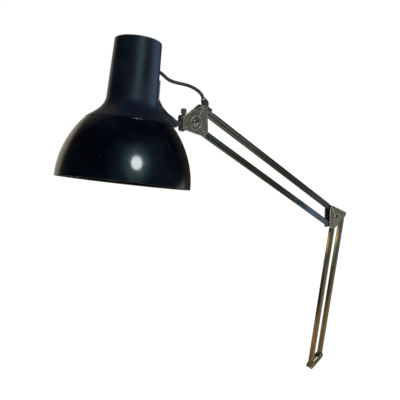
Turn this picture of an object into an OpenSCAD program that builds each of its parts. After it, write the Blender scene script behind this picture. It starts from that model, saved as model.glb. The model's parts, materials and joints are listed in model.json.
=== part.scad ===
// Architect's desk lamp: two parallelogram arms of rectangular tube, pressed
// knuckle plates at the elbow and the head, and a bell shade on a swivel bracket.
// Millimetres. The lamp's plane is XZ, the elbow's side is +X and +Z is up.
// The origin is the axis of the hollow foot pivot.

/* [Arms] */
// Lower arm, pivot to pivot
lower_arm = 345; // [300:1:400]
// Upper arm, pivot to pivot
upper_arm = 434; // [380:1:480]
// Lean of the lower arm from upright, towards +X
lower_lean = 5.6; // [-10:0.1:20]
// Rise of the upper arm above level, towards -X
upper_rise = 36.9; // [20:0.1:50]
// Height of an arm bar at the elbow, seen from the side
bar_height = 8.6; // [8.2:0.1:9.4]
// Height of the ends of the bar that carries the lead, seen from the side
lead_bar_height = 9.6; // [8.6:0.1:10.4]
// Depth of the lower arm's bars between their ends, seen from the side
lower_bar_depth = 12.8; // [10:0.1:13]
// Depth of the upper arm's low bar between its ends, seen from the side
low_bar_depth = 10.6; // [9.6:0.1:11.4]
// Depth of the bar that carries the lead between its ends, seen from the side
lead_bar_depth = 11.4; // [10.4:0.1:12]
// Width of every arm bar, across the lamp
bar_width = 7.4; // [7:0.1:8.4]
// Wall of the arm bars
bar_wall = 0.8; // [0.6:0.05:0.85]
// Corner radius of the arm bars
bar_corner = 2; // [1.2:0.1:2.6]

/* [Pivots] */
// Distance between the two foot pivots
foot_span = 33; // [30:0.5:38]
// Rise of the foot link above level
foot_span_rise = 25; // [10:0.5:35]
// Distance between the two head pivots, and between the upper arm's two at the elbow
head_span = 38.5; // [36:0.5:44]
// Lean of the line through the head pivots, towards -X
head_span_lean = 4.5; // [0:0.5:10]
// From the elbow's pivot of the upper arm's low bar to that of the front bar, along X
elbow_step_x = 10.5; // [10:0.1:14]
// The same, along Z
elbow_step_z = -0.9; // [-4:0.1:0]
// Shank radius of the pivot rivets
rivet_r = 2; // [1.6:0.05:2]
// Radius of the rivets' heads
rivet_head_r = 3.2; // [3:0.1:3.4]
// Height of the rivets' heads
rivet_head_h = 1.5; // [1:0.1:2.2]
// Radial play of a bar on its rivet
running_play = 0.05; // [0.03:0.01:0.1]
// Radial play at each arm's opened pivot
open_play = 0.15; // [0.1:0.01:0.3]
// Thickness of the fibre washers beside the bars
washer_t = 0.7; // [0.5:0.05:1.2]
// Outer radius of the fibre washers
washer_r = 3.9; // [3.4:0.1:4.1]
// Play beside each bar
side_play = 0.1; // [0.05:0.01:0.2]

/* [Foot] */
// Thickness of the foot links
foot_link_t = 1.6; // [1.2:0.1:2.4]
// End radius of the foot links
foot_link_r = 7; // [5:0.1:7.6]
// Bore radius of the hollow foot pivot
foot_bore_r = 2.1; // [1.6:0.05:2.2]
// Wall of the hollow foot pivot
foot_bush_wall = 0.8; // [0.6:0.05:0.9]
// Flange radius of the hollow foot pivot
foot_flange_r = 4.2; // [3.8:0.1:4.8]
// Flange height of the hollow foot pivot
foot_flange_h = 0.8; // [0.6:0.1:1.2]

/* [Knuckle plates] */
// Thickness of the knuckle plates
plate_t = 1.2; // [1:0.1:1.6]
// Corner radius of the head plates
head_corner_r = 2; // [1:0.1:2.6]
// Corner radius of the elbow plates at the rivets
elbow_corner_r = 6.4; // [5.6:0.1:7.5]
// How much further the far elbow plate reaches towards the shade
far_plate_reach = 4.5; // [0:0.1:6]
// Radius of the raised ring on the head plates, on its crest
head_ring_r = 10.9; // [9.5:0.1:11.5]
// Radius of the raised ring on the elbow plates, on its crest
elbow_ring_r = 9.8; // [8.8:0.1:9.9]
// Height of the raised rings and ribs
bead_h = 1; // [0.6:0.1:1.1]
// Radius of the clamp bolts' domed heads
bolt_head_r = 6.6; // [5:0.1:7.4]
// Height of the clamp bolts' domed heads
bolt_head_h = 2.4; // [1.6:0.1:3.2]
// Shank radius of the clamp bolts
bolt_r = 2; // [1.5:0.1:2.5]
// Wall of the spacer tubes on the clamp bolts
spacer_wall = 1.4; // [1:0.1:1.6]
// Width across flats of the clamp nuts
nut_af = 8; // [7:0.5:10]
// Height of the clamp nuts
nut_h = 3; // [2:0.1:4]

/* [Balance springs] */
// Outer radius of the spring coils inside the bars
coil_r = 2.5; // [2:0.05:2.6]
// Radius of the spring wire and of the pull rods
wire_r = 0.7; // [0.5:0.05:0.7]
// From the pivot to the start of the coil
coil_start = 130; // [80:1:150]
// Length of the coil
coil_length = 150; // [100:1:160]
// From the pivot out to the spring post
post_offset = 7.6; // [7.4:0.1:8.4]
// Radius of the spring posts
post_r = 1.2; // [1:0.05:1.3]
// Radius of the anchor pins across the bars
anchor_r = 1.1; // [0.8:0.05:1.2]

/* [Tilt block] */
// From the low head pivot to the tilt pivot, along X
tilt_x = -35.5; // [-38:0.5:-34]
// The same, along Z
tilt_z = 16.7; // [15:0.1:19]
// Height of the swivel axis above the tilt pivot
swivel_up = 5.5; // [5.3:0.1:6]
// Play between the tilt block and each head plate
block_play = 0.2; // [0.1:0.05:0.4]
// Height of the block above the tilt pivot
block_up = 16; // [15.4:0.1:17]
// Depth of the block below the tilt pivot
block_down = 8; // [7:0.1:9]
// Reach of the block past the tilt pivot, towards the shade
block_front = 8; // [7:0.1:9]
// Reach of the block past the tilt pivot, towards the arm
block_back = 7; // [6.6:0.1:8]
// Radius of the bracket's spigot
spigot_r = 2.5; // [2:0.05:2.6]
// Radius of the clamp screw
clamp_screw_r = 1.5; // [1.2:0.05:1.8]
// Gap between the block and the knob
knob_gap = 1.2; // [0.8:0.1:2]
// Height of the knob
knob_h = 8.2; // [6:0.1:10]
// Play between the knob and each head plate as it passes between them
knob_play = 0.25; // [0.2:0.05:0.6]

/* [Shade] */
// Inner reach: from the tilt pivot to the shade's axis
shade_reach = 99; // [97:0.5:104]
// Height of the swivel axis above the rim, along the shade's axis
swivel_on_shade = 69.4; // [66:0.2:72]
// Lean of the shade's axis in the lamp's plane
shade_aim = 19.3; // [15:0.1:24]
// Swivel of the shade at rest, top away from the viewer
shade_roll = 13.7; // [0:0.1:20]
// Rim radius of the dome
rim_r = 94.3; // [90:0.5:98]
// Height of the dome, rim to seam
dome_h = 84.2; // [80:0.5:88]
// Radius of the dome at the seam
seam_r = 62.2; // [60:0.2:64]
// Wall of the dome
dome_wall = 1.2; // [0.8:0.1:1.8]
// Height from the rim to the foot of the straight neck
neck_start = 116.3; // [114:0.1:119]
// Height from the rim to the top of the neck
neck_top = 199.1; // [194:0.1:206]
// Neck radius at its foot
neck_base_r = 35.8; // [35:0.1:36.5]
// Neck radius at its top
neck_top_r = 33.2; // [32:0.1:34]
// Wall of the neck
neck_wall = 1.8; // [1.4:0.1:2.2]
// Radius of the neck's top edge
neck_edge_r = 2; // [2:0.1:4]
// Screws that hold the neck to the dome
neck_screws = 3; // [3:1:6]
// Slots in the neck's top
vent_count = 8; // [4:1:12]

/* [Bracket] */
// Height of the bracket's arm, seen from the side
bracket_h = 11.4; // [10:0.1:12]
// Width of the bracket's arm, across the lamp
bracket_w = 8; // [6:0.1:9]
// Thickness of the saddle on the neck
saddle_t = 2.6; // [2:0.1:3.4]
// Height of the saddle's lower edge above the rim
saddle_low = 118; // [117:0.5:121]
// Height of the saddle's upper edge above the rim
saddle_high = 150; // [146:0.5:154]
// Half angle of the saddle round the neck
saddle_half = 24; // [18:1:30]

/* [Lamp] */
// Radius of the lampholder's skirt
holder_r = 19.5; // [18:0.1:21]
// Length of the lampholder
holder_h = 52; // [48:0.5:54]
// Radius of the bulb's screw cap
cap_r = 13.1; // [12.8:0.05:13.3]
// Radius of the bulb's globe
globe_r = 29; // [26:0.5:30]
// Length of the bulb's glass
glass_h = 78; // [72:0.5:80]
// Radius of the threaded tube through the neck's top
stem_r = 5; // [4.5:0.1:6]

/* [Lead] */
// Radius of the lead's sheath
lead_r = 2.5; // [2.2:0.05:2.7]
// Height of the lead's hole above the rim
lead_hole_h = 165; // [162:0.5:170]
// Radius of one insulated core inside the bars
core_r = 0.6; // [0.4:0.05:0.6]
// Length of the boot's pad along the bar
boot_pad_l = 18; // [17:0.5:22]
// Height of the boot's pad above the bar
boot_pad_h = 3.7; // [3:0.1:4.5]

/* [Hidden] */
$fn = 64;

// Points in the lamp's plane are [x, z] pairs
function polar(r, a) = [r * cos(a), r * sin(a)];
foot_front = [0, 0];
foot_rear = foot_front + polar(foot_span, foot_span_rise);
lower_angle = 90 - lower_lean;
elbow_front = foot_front + polar(lower_arm, lower_angle);
elbow_rear = foot_rear + polar(lower_arm, lower_angle);
elbow_low = elbow_front - [elbow_step_x, elbow_step_z];
head_line = polar(head_span, 90 + head_span_lean);
elbow_top = elbow_low + head_line;
arm_line = polar(upper_arm, 180 - upper_rise);
head_top = elbow_top + arm_line;
head_low = elbow_low + arm_line;
tilt = head_low + [tilt_x, tilt_z];
swivel_z = tilt[1] + swivel_up;
shade_x = tilt[0] - shade_reach;

// A bar deepens over bar_ramp, starting this far from its pivot
bar_ramp = 9;
plain_foot = 2;
plain_elbow = 9;
plain_boot = 23;
plate_gap = bar_width + 2 * (washer_t + side_play);
half_gap = plate_gap / 2;
plate_out = half_gap + plate_t;
link_out = half_gap + foot_link_t;
fit = 0.05;
bar_inner_z = bar_height / 2 - bar_wall;
lead_bar_inner_z = lead_bar_height / 2 - bar_wall;
bush_r = foot_bore_r + foot_bush_wall;

// Ring centres, from the low pivot of each plate
head_ring = head_low + [-16.5, 18.8];
elbow_ring = elbow_low + [13.7, 13];
spacer_r = bolt_r + fit + spacer_wall;

// Knuckle plate outlines: corner centres, anticlockwise from the lowest
head_near_corners = [head_low + [0.6, -4.7], head_low + [5.9, 1.2], head_top + [7.4, 1],
    head_top + [1.4, 3.4], tilt + [-3.6, 14.3], tilt + [-3.7, -2.7]];
head_far_corners = [head_low + [0.6, -4.7], head_low + [5.9, 1.2], head_top + [6, 0.5],
    head_top + [0.6, 2.4], tilt + [-3.6, 6], tilt + [-3.7, -2.7]];
elbow_near_corners = [elbow_low, elbow_front + [1, -1], elbow_rear, elbow_top];
elbow_far_corners = [elbow_low - [far_plate_reach, 0], elbow_front, elbow_rear,
    elbow_top - [far_plate_reach, 0]];

// A pin or bore along Y
module pin_y(r, y0, y1) {
    translate([0, y0, 0]) rotate([-90, 0, 0]) cylinder(r = r, h = y1 - y0);
}

// An XZ outline made solid from y0 to y1
module slab(y0, y1) {
    translate([0, y1, 0]) rotate([90, 0, 0]) linear_extrude(y1 - y0) children();
}

module at(p) {
    translate([p[0], 0, p[1]]) children();
}

// Straight side between two corner circles of an anticlockwise outline
function side(a, ra, b, rb) =
    let (n = atan2(b[1] - a[1], b[0] - a[0]) - acos((ra - rb) / norm(b - a)))
    [a + polar(ra, n), b + polar(rb, n)];

// Outline round corner circles, given anticlockwise
module belt(centres, radii) {
    count = len(centres);
    polygon([for (i = [0:count - 1]) let (j = (i + 1) % count)
        each side(centres[i], radii[i], centres[j], radii[j])]);
    for (i = [0:count - 1]) translate(centres[i]) circle(r = radii[i]);
}

function same(r, count) = [for (i = [1:count]) r];

// Low dome on the XY plane, for rivet and bolt heads
module dome(r, h) {
    steps = 8;
    rotate_extrude() polygon(concat([[0, 0]],
        [for (i = [0:steps]) let (a = 90 * i / steps) [r * cos(a), h * sin(a)]]));
}

// Pin through both plates with a domed head on each side
module rivet(r, half, head_r, head_h) {
    pin_y(r, -half, half);
    translate([0, half, 0]) rotate([-90, 0, 0]) dome(head_r, head_h);
    translate([0, -half, 0]) rotate([90, 0, 0]) dome(head_r, head_h);
}

// Section of a bar, with rounded corners
module bar_section(depth, inset) {
    corner = max(bar_corner - inset, 0.4);
    y = bar_width / 2 - inset - corner;
    z = depth / 2 - inset - corner;
    belt([[-y, -z], [y, -z], [y, z], [-y, z]], same(corner, 4));
}

// Side view of a bar: round ends of their own height, run on by open_by, and a deeper middle
module bar_side(length, depth, ends, plain, inset, open_by) {
    near = ends[0] / 2 - inset;
    far = ends[1] / 2 - inset;
    corner = bar_corner - inset;
    edge = depth / 2 - bar_corner;
    x0 = plain[0];
    x1 = length - plain[1];
    belt([[-open_by, 0], [x0, 0]], same(near, 2));
    belt([[x1, 0], [length + open_by, 0]], same(far, 2));
    belt([[x0, 0], [x0 + bar_ramp, -edge], [x1 - bar_ramp, -edge],
        [x1, 0], [x1 - bar_ramp, edge], [x0 + bar_ramp, edge]],
        [near, corner, corner, far, corner, corner]);
}

// Rectangular tube along +X from pivot to pivot. ends: height of each end,
// plain: how far from its pivot each end starts to deepen, holes: pivot holes
module bar(length, depth, ends, plain, holes) {
    difference() {
        intersection() {
            translate([-depth, 0, 0]) rotate([90, 0, 90])
                linear_extrude(length + 2 * depth) bar_section(depth, 0);
            slab(-bar_width, bar_width) bar_side(length, depth, ends, plain, 0, 0);
        }
        intersection() {
            translate([-2 * depth, 0, 0]) rotate([90, 0, 90])
                linear_extrude(length + 4 * depth) bar_section(depth, bar_wall);
            slab(-bar_width, bar_width) bar_side(length, depth, ends, plain, bar_wall, depth);
        }
        pin_y(holes[0], -bar_width, bar_width);
        translate([length, 0, 0]) pin_y(holes[1], -bar_width, bar_width);
    }
}

// Places a bar's own frame: at a pivot, +X along the bar
module along(p, angle) {
    at(p) rotate([0, -angle, 0]) children();
}

// Fibre washers on both sides of a bar, against the plates
module washer_pair(hole_r) {
    for (s = [-1, 1]) difference() {
        translate([0, s * (half_gap - washer_t / 2), 0])
            pin_y(washer_r, -washer_t / 2, washer_t / 2);
        pin_y(hole_r, -plate_gap, plate_gap);
    }
}

module foot_link(y0, y1) {
    difference() {
        slab(y0, y1) belt([foot_front, foot_rear], same(foot_link_r, 2));
        at(foot_front) pin_y(bush_r + fit, y0 - 1, y1 + 1);
        at(foot_rear) pin_y(rivet_r + fit, y0 - 1, y1 + 1);
    }
}

module foot_link_near() {
    color("#6d6a55") foot_link(-link_out, -half_gap);
}

module foot_link_far() {
    color("#6d6a55") foot_link(half_gap, link_out);
}

// Hollow pivot: a through bolt fastens the lamp here
module foot_bush() {
    end = link_out + foot_flange_h;
    color("#a9a594") at(foot_front) difference() {
        union() {
            pin_y(bush_r, -link_out, link_out);
            pin_y(foot_flange_r, link_out, end);
            pin_y(foot_flange_r, -end, -link_out);
        }
        pin_y(foot_bore_r, -end - 1, end + 1);
    }
}

module foot_rivet() {
    color("#a9a594") at(foot_rear) rivet(rivet_r, link_out, rivet_head_r, rivet_head_h);
}

module foot_washers() {
    color("#5a3c2a") {
        at(foot_front) washer_pair(bush_r + fit);
        at(foot_rear) washer_pair(rivet_r + fit);
    }
}

// The anchor pin's hole is cut in a bar that holds a spring
anchor_x = coil_start + coil_length + 8;

module lower_front_bar() {
    color("#8a7a5c") difference() {
        along(foot_front, lower_angle)
            bar(lower_arm, lower_bar_depth, [lower_bar_depth, bar_height],
                [plain_foot, plain_elbow], [bush_r, rivet_r] + running_play * [1, 1]);
        along(elbow_front, lower_angle + 180) translate([anchor_x, 0, 0])
            pin_y(anchor_r, -bar_width, bar_width);
    }
}

module lower_rear_bar() {
    color("#8a7a5c") along(foot_rear, lower_angle)
        bar(lower_arm, lower_bar_depth, [lower_bar_depth, bar_height],
            [plain_foot, plain_elbow], rivet_r * [1, 1] + [running_play, open_play]);
}

// Spring in its bar's own frame: an eye on the post, a pull rod past the pivot,
// the coil as a plain tube and a hook on the anchor pin
rod_z = rivet_r + running_play + wire_r;
module spring_eye(r) {
    rotate([90, 0, 0]) rotate_extrude() translate([r + fit + wire_r, 0]) circle(r = wire_r, $fn = 24);
}

module spring() {
    translate([-post_offset, 0, 0]) spring_eye(post_r);
    rod_l = coil_start + post_offset;
    lift = atan2(rod_z - post_r - fit - wire_r, post_offset);
    translate([-post_offset, 0, post_r + fit + wire_r]) rotate([0, 90 - lift, 0])
        cylinder(r = wire_r, h = norm([post_offset, rod_z - post_r - fit - wire_r]), $fn = 24);
    translate([0, 0, rod_z]) {
        sphere(r = wire_r, $fn = 24);
        rotate([0, 90, 0]) cylinder(r = wire_r, h = coil_start + 2, $fn = 24);
    }
    translate([coil_start, 0, 0]) rotate([0, 90, 0]) cylinder(r = coil_r, h = coil_length);
    translate([coil_start + coil_length - 1, 0, 0]) rotate([0, 90, 0])
        cylinder(r = wire_r, h = 9 - anchor_r - fit - wire_r, $fn = 24);
    translate([anchor_x, 0, 0]) spring_eye(anchor_r);
}

module lower_spring() {
    color("#777777") along(elbow_front, lower_angle + 180) spring();
}

module lower_spring_anchor() {
    color("#999999") along(elbow_front, lower_angle + 180) translate([anchor_x, 0, 0])
        pin_y(anchor_r, -bar_width / 2, bar_width / 2);
}

module upper_spring() {
    color("#777777") along(head_low, -upper_rise) spring();
}

module upper_spring_anchor() {
    color("#999999") along(head_low, -upper_rise) translate([anchor_x, 0, 0])
        pin_y(anchor_r, -bar_width / 2, bar_width / 2);
}

// Two insulated cores side by side past the pivots, in a bar's own frame
module cores(x0, x1, z) {
    for (s = [-1, 1]) translate([x0, 0, s * z]) rotate([0, 90, 0])
        cylinder(r = core_r, h = x1 - x0, $fn = 24);
}

module lower_cores() {
    z = (rivet_r + open_play + bar_inner_z) / 2;
    end = bar_height / 2 - 1;
    color("#3a3a3a") along(foot_rear, lower_angle) cores(-end, lower_arm + end, z);
}

module upper_cores() {
    z = (rivet_r + running_play + lead_bar_inner_z) / 2;
    color("#3a3a3a") along(head_top, -upper_rise)
        cores(boot_hole_x + boot_stem_r + 0.6, upper_arm + lead_bar_height / 2 - 1, z);
}

// Cores across the elbow, side by side against the far plate
module elbow_cores() {
    start = elbow_top + polar(lead_bar_height / 2 + 1.2, -upper_rise);
    end = elbow_rear + polar(bar_height / 2 + 1.2, lower_angle);
    run = end - start;
    color("#3a3a3a") translate([start[0], half_gap - core_r, start[1]])
        rotate([0, 90 - atan2(run[1], run[0]), 0]) for (s = [-1, 1])
            translate([s * core_r, 0, 0]) cylinder(r = core_r, h = norm(run), $fn = 24);
}

// Raised ring round a clamp bolt, and a rib from it towards some of the rivets
rib_r = 0.9 * bead_h;
rib_stop = rivet_head_r + rib_r + 0.3;
module relief(centre, ring_r, targets) {
    rotate([90, 0, 0]) rotate_extrude() translate([ring_r, 0]) circle(r = bead_h, $fn = 32);
    for (p = targets) {
        way = p - centre;
        length = norm(way) - ring_r - rib_stop;
        rotate([0, 90 - atan2(way[1], way[0]), 0]) translate([0, 0, ring_r]) {
            cylinder(r = rib_r, h = length, $fn = 32);
            translate([0, 0, length]) cylinder(r1 = rib_r, r2 = 0.3 * rib_r, h = rib_r, $fn = 32);
        }
    }
}

// Pressed plate on one side of the lamp: -1 is the near side, 1 the far side
module knuckle_plate(out, corners, radii, pivots, centre, ring_r, targets) {
    inner_y = out * half_gap;
    outer_y = out * plate_out;
    difference() {
        union() {
            slab(min(inner_y, outer_y), max(inner_y, outer_y)) belt(corners, radii);
            translate([centre[0], outer_y, centre[1]]) relief(centre, ring_r, targets);
        }
        for (p = pivots) at(p) pin_y(rivet_r + fit, -plate_out - 3, plate_out + 3);
        at(centre) pin_y(bolt_r + fit, -plate_out - 3, plate_out + 3);
    }
}

elbow_pivots = [elbow_low, elbow_front, elbow_rear, elbow_top];
elbow_ribs = [elbow_low, elbow_rear, elbow_top];
elbow_radii = [elbow_corner_r - 0.6, elbow_corner_r + 0.8, elbow_corner_r, elbow_corner_r];
head_pivots = [head_low, head_top, tilt];
head_ribs = [head_low, head_top];
head_radii = same(head_corner_r, 6);

module elbow_plate_near() {
    color("#77756a") knuckle_plate(-1, elbow_near_corners, elbow_radii, elbow_pivots,
        elbow_ring, elbow_ring_r, elbow_ribs);
}

module elbow_plate_far() {
    color("#77756a") knuckle_plate(1, elbow_far_corners, elbow_radii, elbow_pivots,
        elbow_ring, elbow_ring_r, elbow_ribs);
}

module elbow_rivets() {
    color("#a9a594") for (p = elbow_pivots)
        at(p) rivet(rivet_r, plate_out, rivet_head_r, rivet_head_h);
}

module elbow_washers() {
    color("#5a3c2a") for (p = elbow_pivots) at(p) washer_pair(rivet_r + fit);
}

// Clamp bolt between two plates: spacer, bolt and nut
module spacer(p) {
    at(p) difference() {
        pin_y(spacer_r, -half_gap, half_gap);
        pin_y(bolt_r + fit, -plate_gap, plate_gap);
    }
}

module bolt(p) {
    at(p) {
        pin_y(bolt_r, -plate_out, plate_out + nut_h + 0.8);
        translate([0, -plate_out, 0]) rotate([90, 0, 0]) dome(bolt_head_r, bolt_head_h);
    }
}

module nut(p) {
    at(p) difference() {
        translate([0, plate_out, 0]) rotate([-90, 0, 0])
            cylinder(d = nut_af / cos(30), h = nut_h, $fn = 6);
        pin_y(bolt_r + fit, plate_out - 1, plate_out + nut_h + 1);
    }
}

module elbow_spacer() {
    color("#8c8c86") spacer(elbow_ring);
}

module elbow_bolt() {
    color("#8a877a") bolt(elbow_ring);
}

module elbow_nut() {
    color("#8c8c86") nut(elbow_ring);
}

module spring_post(p) {
    at(p) pin_y(post_r, -half_gap, half_gap);
}

module elbow_spring_post() {
    color("#999999") spring_post(elbow_front + polar(post_offset, lower_angle));
}

module head_spring_post() {
    color("#999999") spring_post(head_low + polar(post_offset, 180 - upper_rise));
}

// The boot's stem enters the top bar past the head pivot, and its tower leans back
// over the pivot. The tower's foot and top are in the lamp's plane.
boot_hole_x = 13;
boot_stem_r = 2.2;
boot_pad_start = 3;
boot_pad_corner = 1.4;
bar_way = polar(1, -upper_rise);
bar_up = polar(1, 90 - upper_rise);
tower_foot = head_top + 9 * bar_way + (lead_bar_height / 2 + 2) * bar_up;
tower_top = head_top + [5.4, 13.2];
tower_run = tower_top - tower_foot;
tower_way = tower_run / norm(tower_run);
tower_r = half_gap - 0.5;
lead_in_boot = 6;

module on_tower() {
    at(tower_top) rotate([0, 90 - atan2(tower_run[1], tower_run[0]), 0]) children();
}

module upper_top_bar() {
    color("#5e6052") difference() {
        along(head_top, -upper_rise)
            bar(upper_arm, lead_bar_depth, lead_bar_height * [1, 1],
                [plain_boot, plain_elbow], (rivet_r + running_play) * [1, 1]);
        along(head_top, -upper_rise) translate([boot_hole_x, 0, 0])
            cylinder(r = boot_stem_r + fit, h = lead_bar_height);
    }
}

module upper_low_bar() {
    color("#5e6052") difference() {
        along(head_low, -upper_rise)
            bar(upper_arm, low_bar_depth, [low_bar_depth, bar_height],
                [plain_foot, plain_elbow], rivet_r * [1, 1] + [open_play, running_play]);
        along(head_low, -upper_rise) translate([anchor_x, 0, 0])
            pin_y(anchor_r, -bar_width, bar_width);
    }
}

// Moulded boot: a pad on the top bar and a short tower that the lead comes out of
module lead_boot() {
    left = boot_pad_start + boot_pad_corner;
    right = boot_pad_start + boot_pad_l - boot_pad_corner;
    low = lead_bar_height / 2 + boot_pad_corner;
    high = lead_bar_height / 2 + boot_pad_h - boot_pad_corner;
    color("#15161a") {
        along(head_top, -upper_rise) {
            slab(-bar_width / 2, bar_width / 2)
                belt([[left, low], [right, low], [right, high], [left, high]], same(boot_pad_corner, 4));
            translate([boot_hole_x, 0, lead_bar_inner_z]) cylinder(r = boot_stem_r, h = bar_wall + 1);
        }
        difference() {
            on_tower() translate([0, 0, -norm(tower_run)])
                cylinder(r1 = tower_r, r2 = tower_r - 0.4, h = norm(tower_run));
            along(head_top, -upper_rise) translate([-20, -20, -40 + lead_bar_height / 2])
                cube([60, 40, 40]);
            on_tower() translate([0, 0, -lead_in_boot]) cylinder(r = lead_r + fit, h = lead_in_boot + 1);
        }
    }
}

// Bright clip round the lead, on the boot's mouth
module boot_clip() {
    color("#c9c9c4") on_tower() difference() {
        cylinder(r = tower_r - 0.6, h = 0.9);
        translate([0, 0, -1]) cylinder(r = lead_r + fit, h = 3);
    }
}

module head_plate_near() {
    color("#77756a") knuckle_plate(-1, head_near_corners, head_radii, head_pivots,
        head_ring, head_ring_r, head_ribs);
}

module head_plate_far() {
    color("#77756a") knuckle_plate(1, head_far_corners, head_radii, head_pivots,
        head_ring, head_ring_r, head_ribs);
}

module head_rivets() {
    color("#a9a594") for (p = [head_low, head_top])
        at(p) rivet(rivet_r, plate_out, rivet_head_r, rivet_head_h);
}

module head_washers() {
    color("#5a3c2a") for (p = [head_low, head_top]) at(p) washer_pair(rivet_r + fit);
}

module head_spacer() {
    color("#8c8c86") spacer(head_ring);
}

module head_bolt() {
    color("#8a877a") bolt(head_ring);
}

module head_nut() {
    color("#8c8c86") nut(head_ring);
}

module tilt_rivet() {
    color("#a9a594") at(tilt) rivet(rivet_r, plate_out, rivet_head_r - 0.8, rivet_head_h - 0.5);
}

// Block between the head plates: it tilts on its rivet and holds the swivel spigot
block_half = half_gap - block_play;
block_corner = 2.4;
clip_t = 0.8;
clip_x = tilt[0] + block_back + 0.2;

module tilt_block() {
    left = -block_front + block_corner;
    right = block_back - 1.5 - block_corner;
    top = block_up - block_corner;
    outline = [[left, -block_down + block_corner], [0, 0], [right, top], [left, top]];
    color("#17181d") difference() {
        at(tilt) slab(-block_half, block_half)
            belt(outline, [block_corner, block_back, block_corner, block_corner]);
        at(tilt) pin_y(rivet_r + running_play, -plate_gap, plate_gap);
        translate([tilt[0] - 2 * block_front, 0, swivel_z]) rotate([0, 90, 0])
            cylinder(r = spigot_r + running_play, h = 4 * block_front);
        translate([tilt[0], 0, swivel_z])
            cylinder(r = clamp_screw_r + running_play, h = block_up);
    }
}

pad_z = swivel_z + spigot_r + running_play;
pad_h = 1;
knob_z = tilt[1] + block_up + knob_gap;
knob_r = half_gap - knob_play;

module clamp_pad() {
    color("#b08d4a") translate([tilt[0], 0, pad_z])
        cylinder(r = clamp_screw_r, h = pad_h);
}

module clamp_screw() {
    color("#8c8c86") translate([tilt[0], 0, pad_z + pad_h + fit])
        cylinder(r = clamp_screw_r, h = knob_z + knob_h / 2 - pad_z - pad_h - fit);
}

module clamp_knob() {
    edge = 1.6;
    stem_h = 0.8;
    color("#1b1c24") translate([tilt[0], 0, knob_z]) difference() {
        rotate_extrude() union() {
            square([knob_r - 1.4, knob_h - edge]);
            translate([0, stem_h]) square([knob_r, knob_h - edge - stem_h]);
            square([knob_r - edge, knob_h]);
            translate([knob_r - edge, knob_h - edge]) circle(r = edge);
        }
        translate([0, 0, -1]) cylinder(r = clamp_screw_r, h = knob_h / 2 + 1);
    }
}

// The shade's own frame: rim centre at the origin, axis +Z
module rolled() {
    translate([0, 0, swivel_z]) rotate([-shade_roll, 0, 0]) translate([0, 0, -swivel_z]) children();
}

module in_shade() {
    rolled() translate([shade_x, 0, swivel_z]) rotate([0, shade_aim, 0])
        translate([0, 0, -swivel_on_shade]) children();
}

function bezier(a, b, c, d, t) =
    a * pow(1 - t, 3) + 3 * b * t * pow(1 - t, 2) + 3 * c * t * t * (1 - t) + d * pow(t, 3);
function curve(a, b, c, d, steps) = [for (i = [0:steps]) bezier(a, b, c, d, i / steps)];

// Outlines as [radius, height]
function dome_curve(inset, drop) = curve([rim_r - inset, 0], [rim_r - inset, 0.43 * dome_h],
    [0.827 * rim_r - inset, 0.784 * dome_h], [seam_r - inset, dome_h - drop], 14);
function flare_curve(inset, drop) = curve([seam_r - inset, dome_h + drop],
    [0.87 * seam_r - inset, dome_h + 0.24 * (neck_start - dome_h) + drop],
    [1.05 * neck_base_r - inset, dome_h + 0.46 * (neck_start - dome_h) + drop],
    [neck_base_r - inset, neck_start], 12);
function reversed(list) = [for (i = [len(list) - 1:-1:0]) list[i]];

dome_hole_r = neck_base_r + 4;
dome_top_t = 1.6;
screw_circle = (seam_r - dome_wall + dome_hole_r) / 2 + 1;
dome_screw_r = 1.5;

module shade_dome() {
    color("#0b0d10") in_shade() difference() {
        rotate_extrude($fn = 96) polygon(concat(dome_curve(0, 0),
            [[dome_hole_r, dome_h], [dome_hole_r, dome_h - dome_top_t]],
            reversed(dome_curve(dome_wall, dome_top_t))));
        for (i = [0:neck_screws - 1]) rotate([0, 0, 60 + 360 * i / neck_screws])
            translate([screw_circle, 0, dome_h - 4])
                cylinder(r = dome_screw_r + fit, h = 6);
    }
}

seam_gap = 0.2;
flare_foot = dome_h + seam_gap;
boss_h = 9;
lead_hole_r = lead_r + 1.8;

module shade_neck() {
    inner_top = neck_top - neck_wall;
    inner_r = neck_top_r - neck_wall;
    color("#121620") in_shade() difference() {
        union() {
            rotate_extrude($fn = 96) union() {
                polygon(concat(flare_curve(0, seam_gap),
                    [[neck_top_r, neck_top - neck_edge_r], [neck_top_r - neck_edge_r, neck_top - neck_edge_r],
                    [neck_top_r - neck_edge_r, neck_top], [stem_r + fit, neck_top],
                    [stem_r + fit, inner_top], [inner_r, inner_top]],
                    reversed(flare_curve(neck_wall, seam_gap))));
                translate([neck_top_r - neck_edge_r, neck_top - neck_edge_r]) circle(r = neck_edge_r);
            }
            for (i = [0:neck_screws - 1]) rotate([0, 0, 60 + 360 * i / neck_screws])
                translate([screw_circle, 0, flare_foot]) cylinder(r = 3.4, h = boss_h);
        }
        for (i = [0:neck_screws - 1]) rotate([0, 0, 60 + 360 * i / neck_screws])
            translate([screw_circle, 0, flare_foot - 1]) cylinder(r = dome_screw_r, h = 7.2);
        for (i = [0:vent_count - 1]) rotate([0, 0, 360 * i / vent_count])
            translate([12, -1.3, inner_top - 4]) cube([inner_r - 17, 2.6, 12]);
        translate([0, 0, lead_hole_h]) rotate([0, 90, 0]) cylinder(r = lead_hole_r, h = 2 * neck_base_r);
        for (z = bracket_screw_z) translate([0, 0, z]) rotate([0, 90, 0])
            cylinder(r = bracket_screw_r, h = 2 * neck_base_r);
    }
}

module dome_screws() {
    color("#8c8c86") in_shade() for (i = [0:neck_screws - 1])
        rotate([0, 0, 60 + 360 * i / neck_screws]) translate([screw_circle, 0, 0]) {
            translate([0, 0, dome_h - dome_top_t]) cylinder(r = dome_screw_r, h = 7);
            translate([0, 0, dome_h - dome_top_t]) mirror([0, 0, 1]) dome(2.9, 1.8);
        }
}

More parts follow.
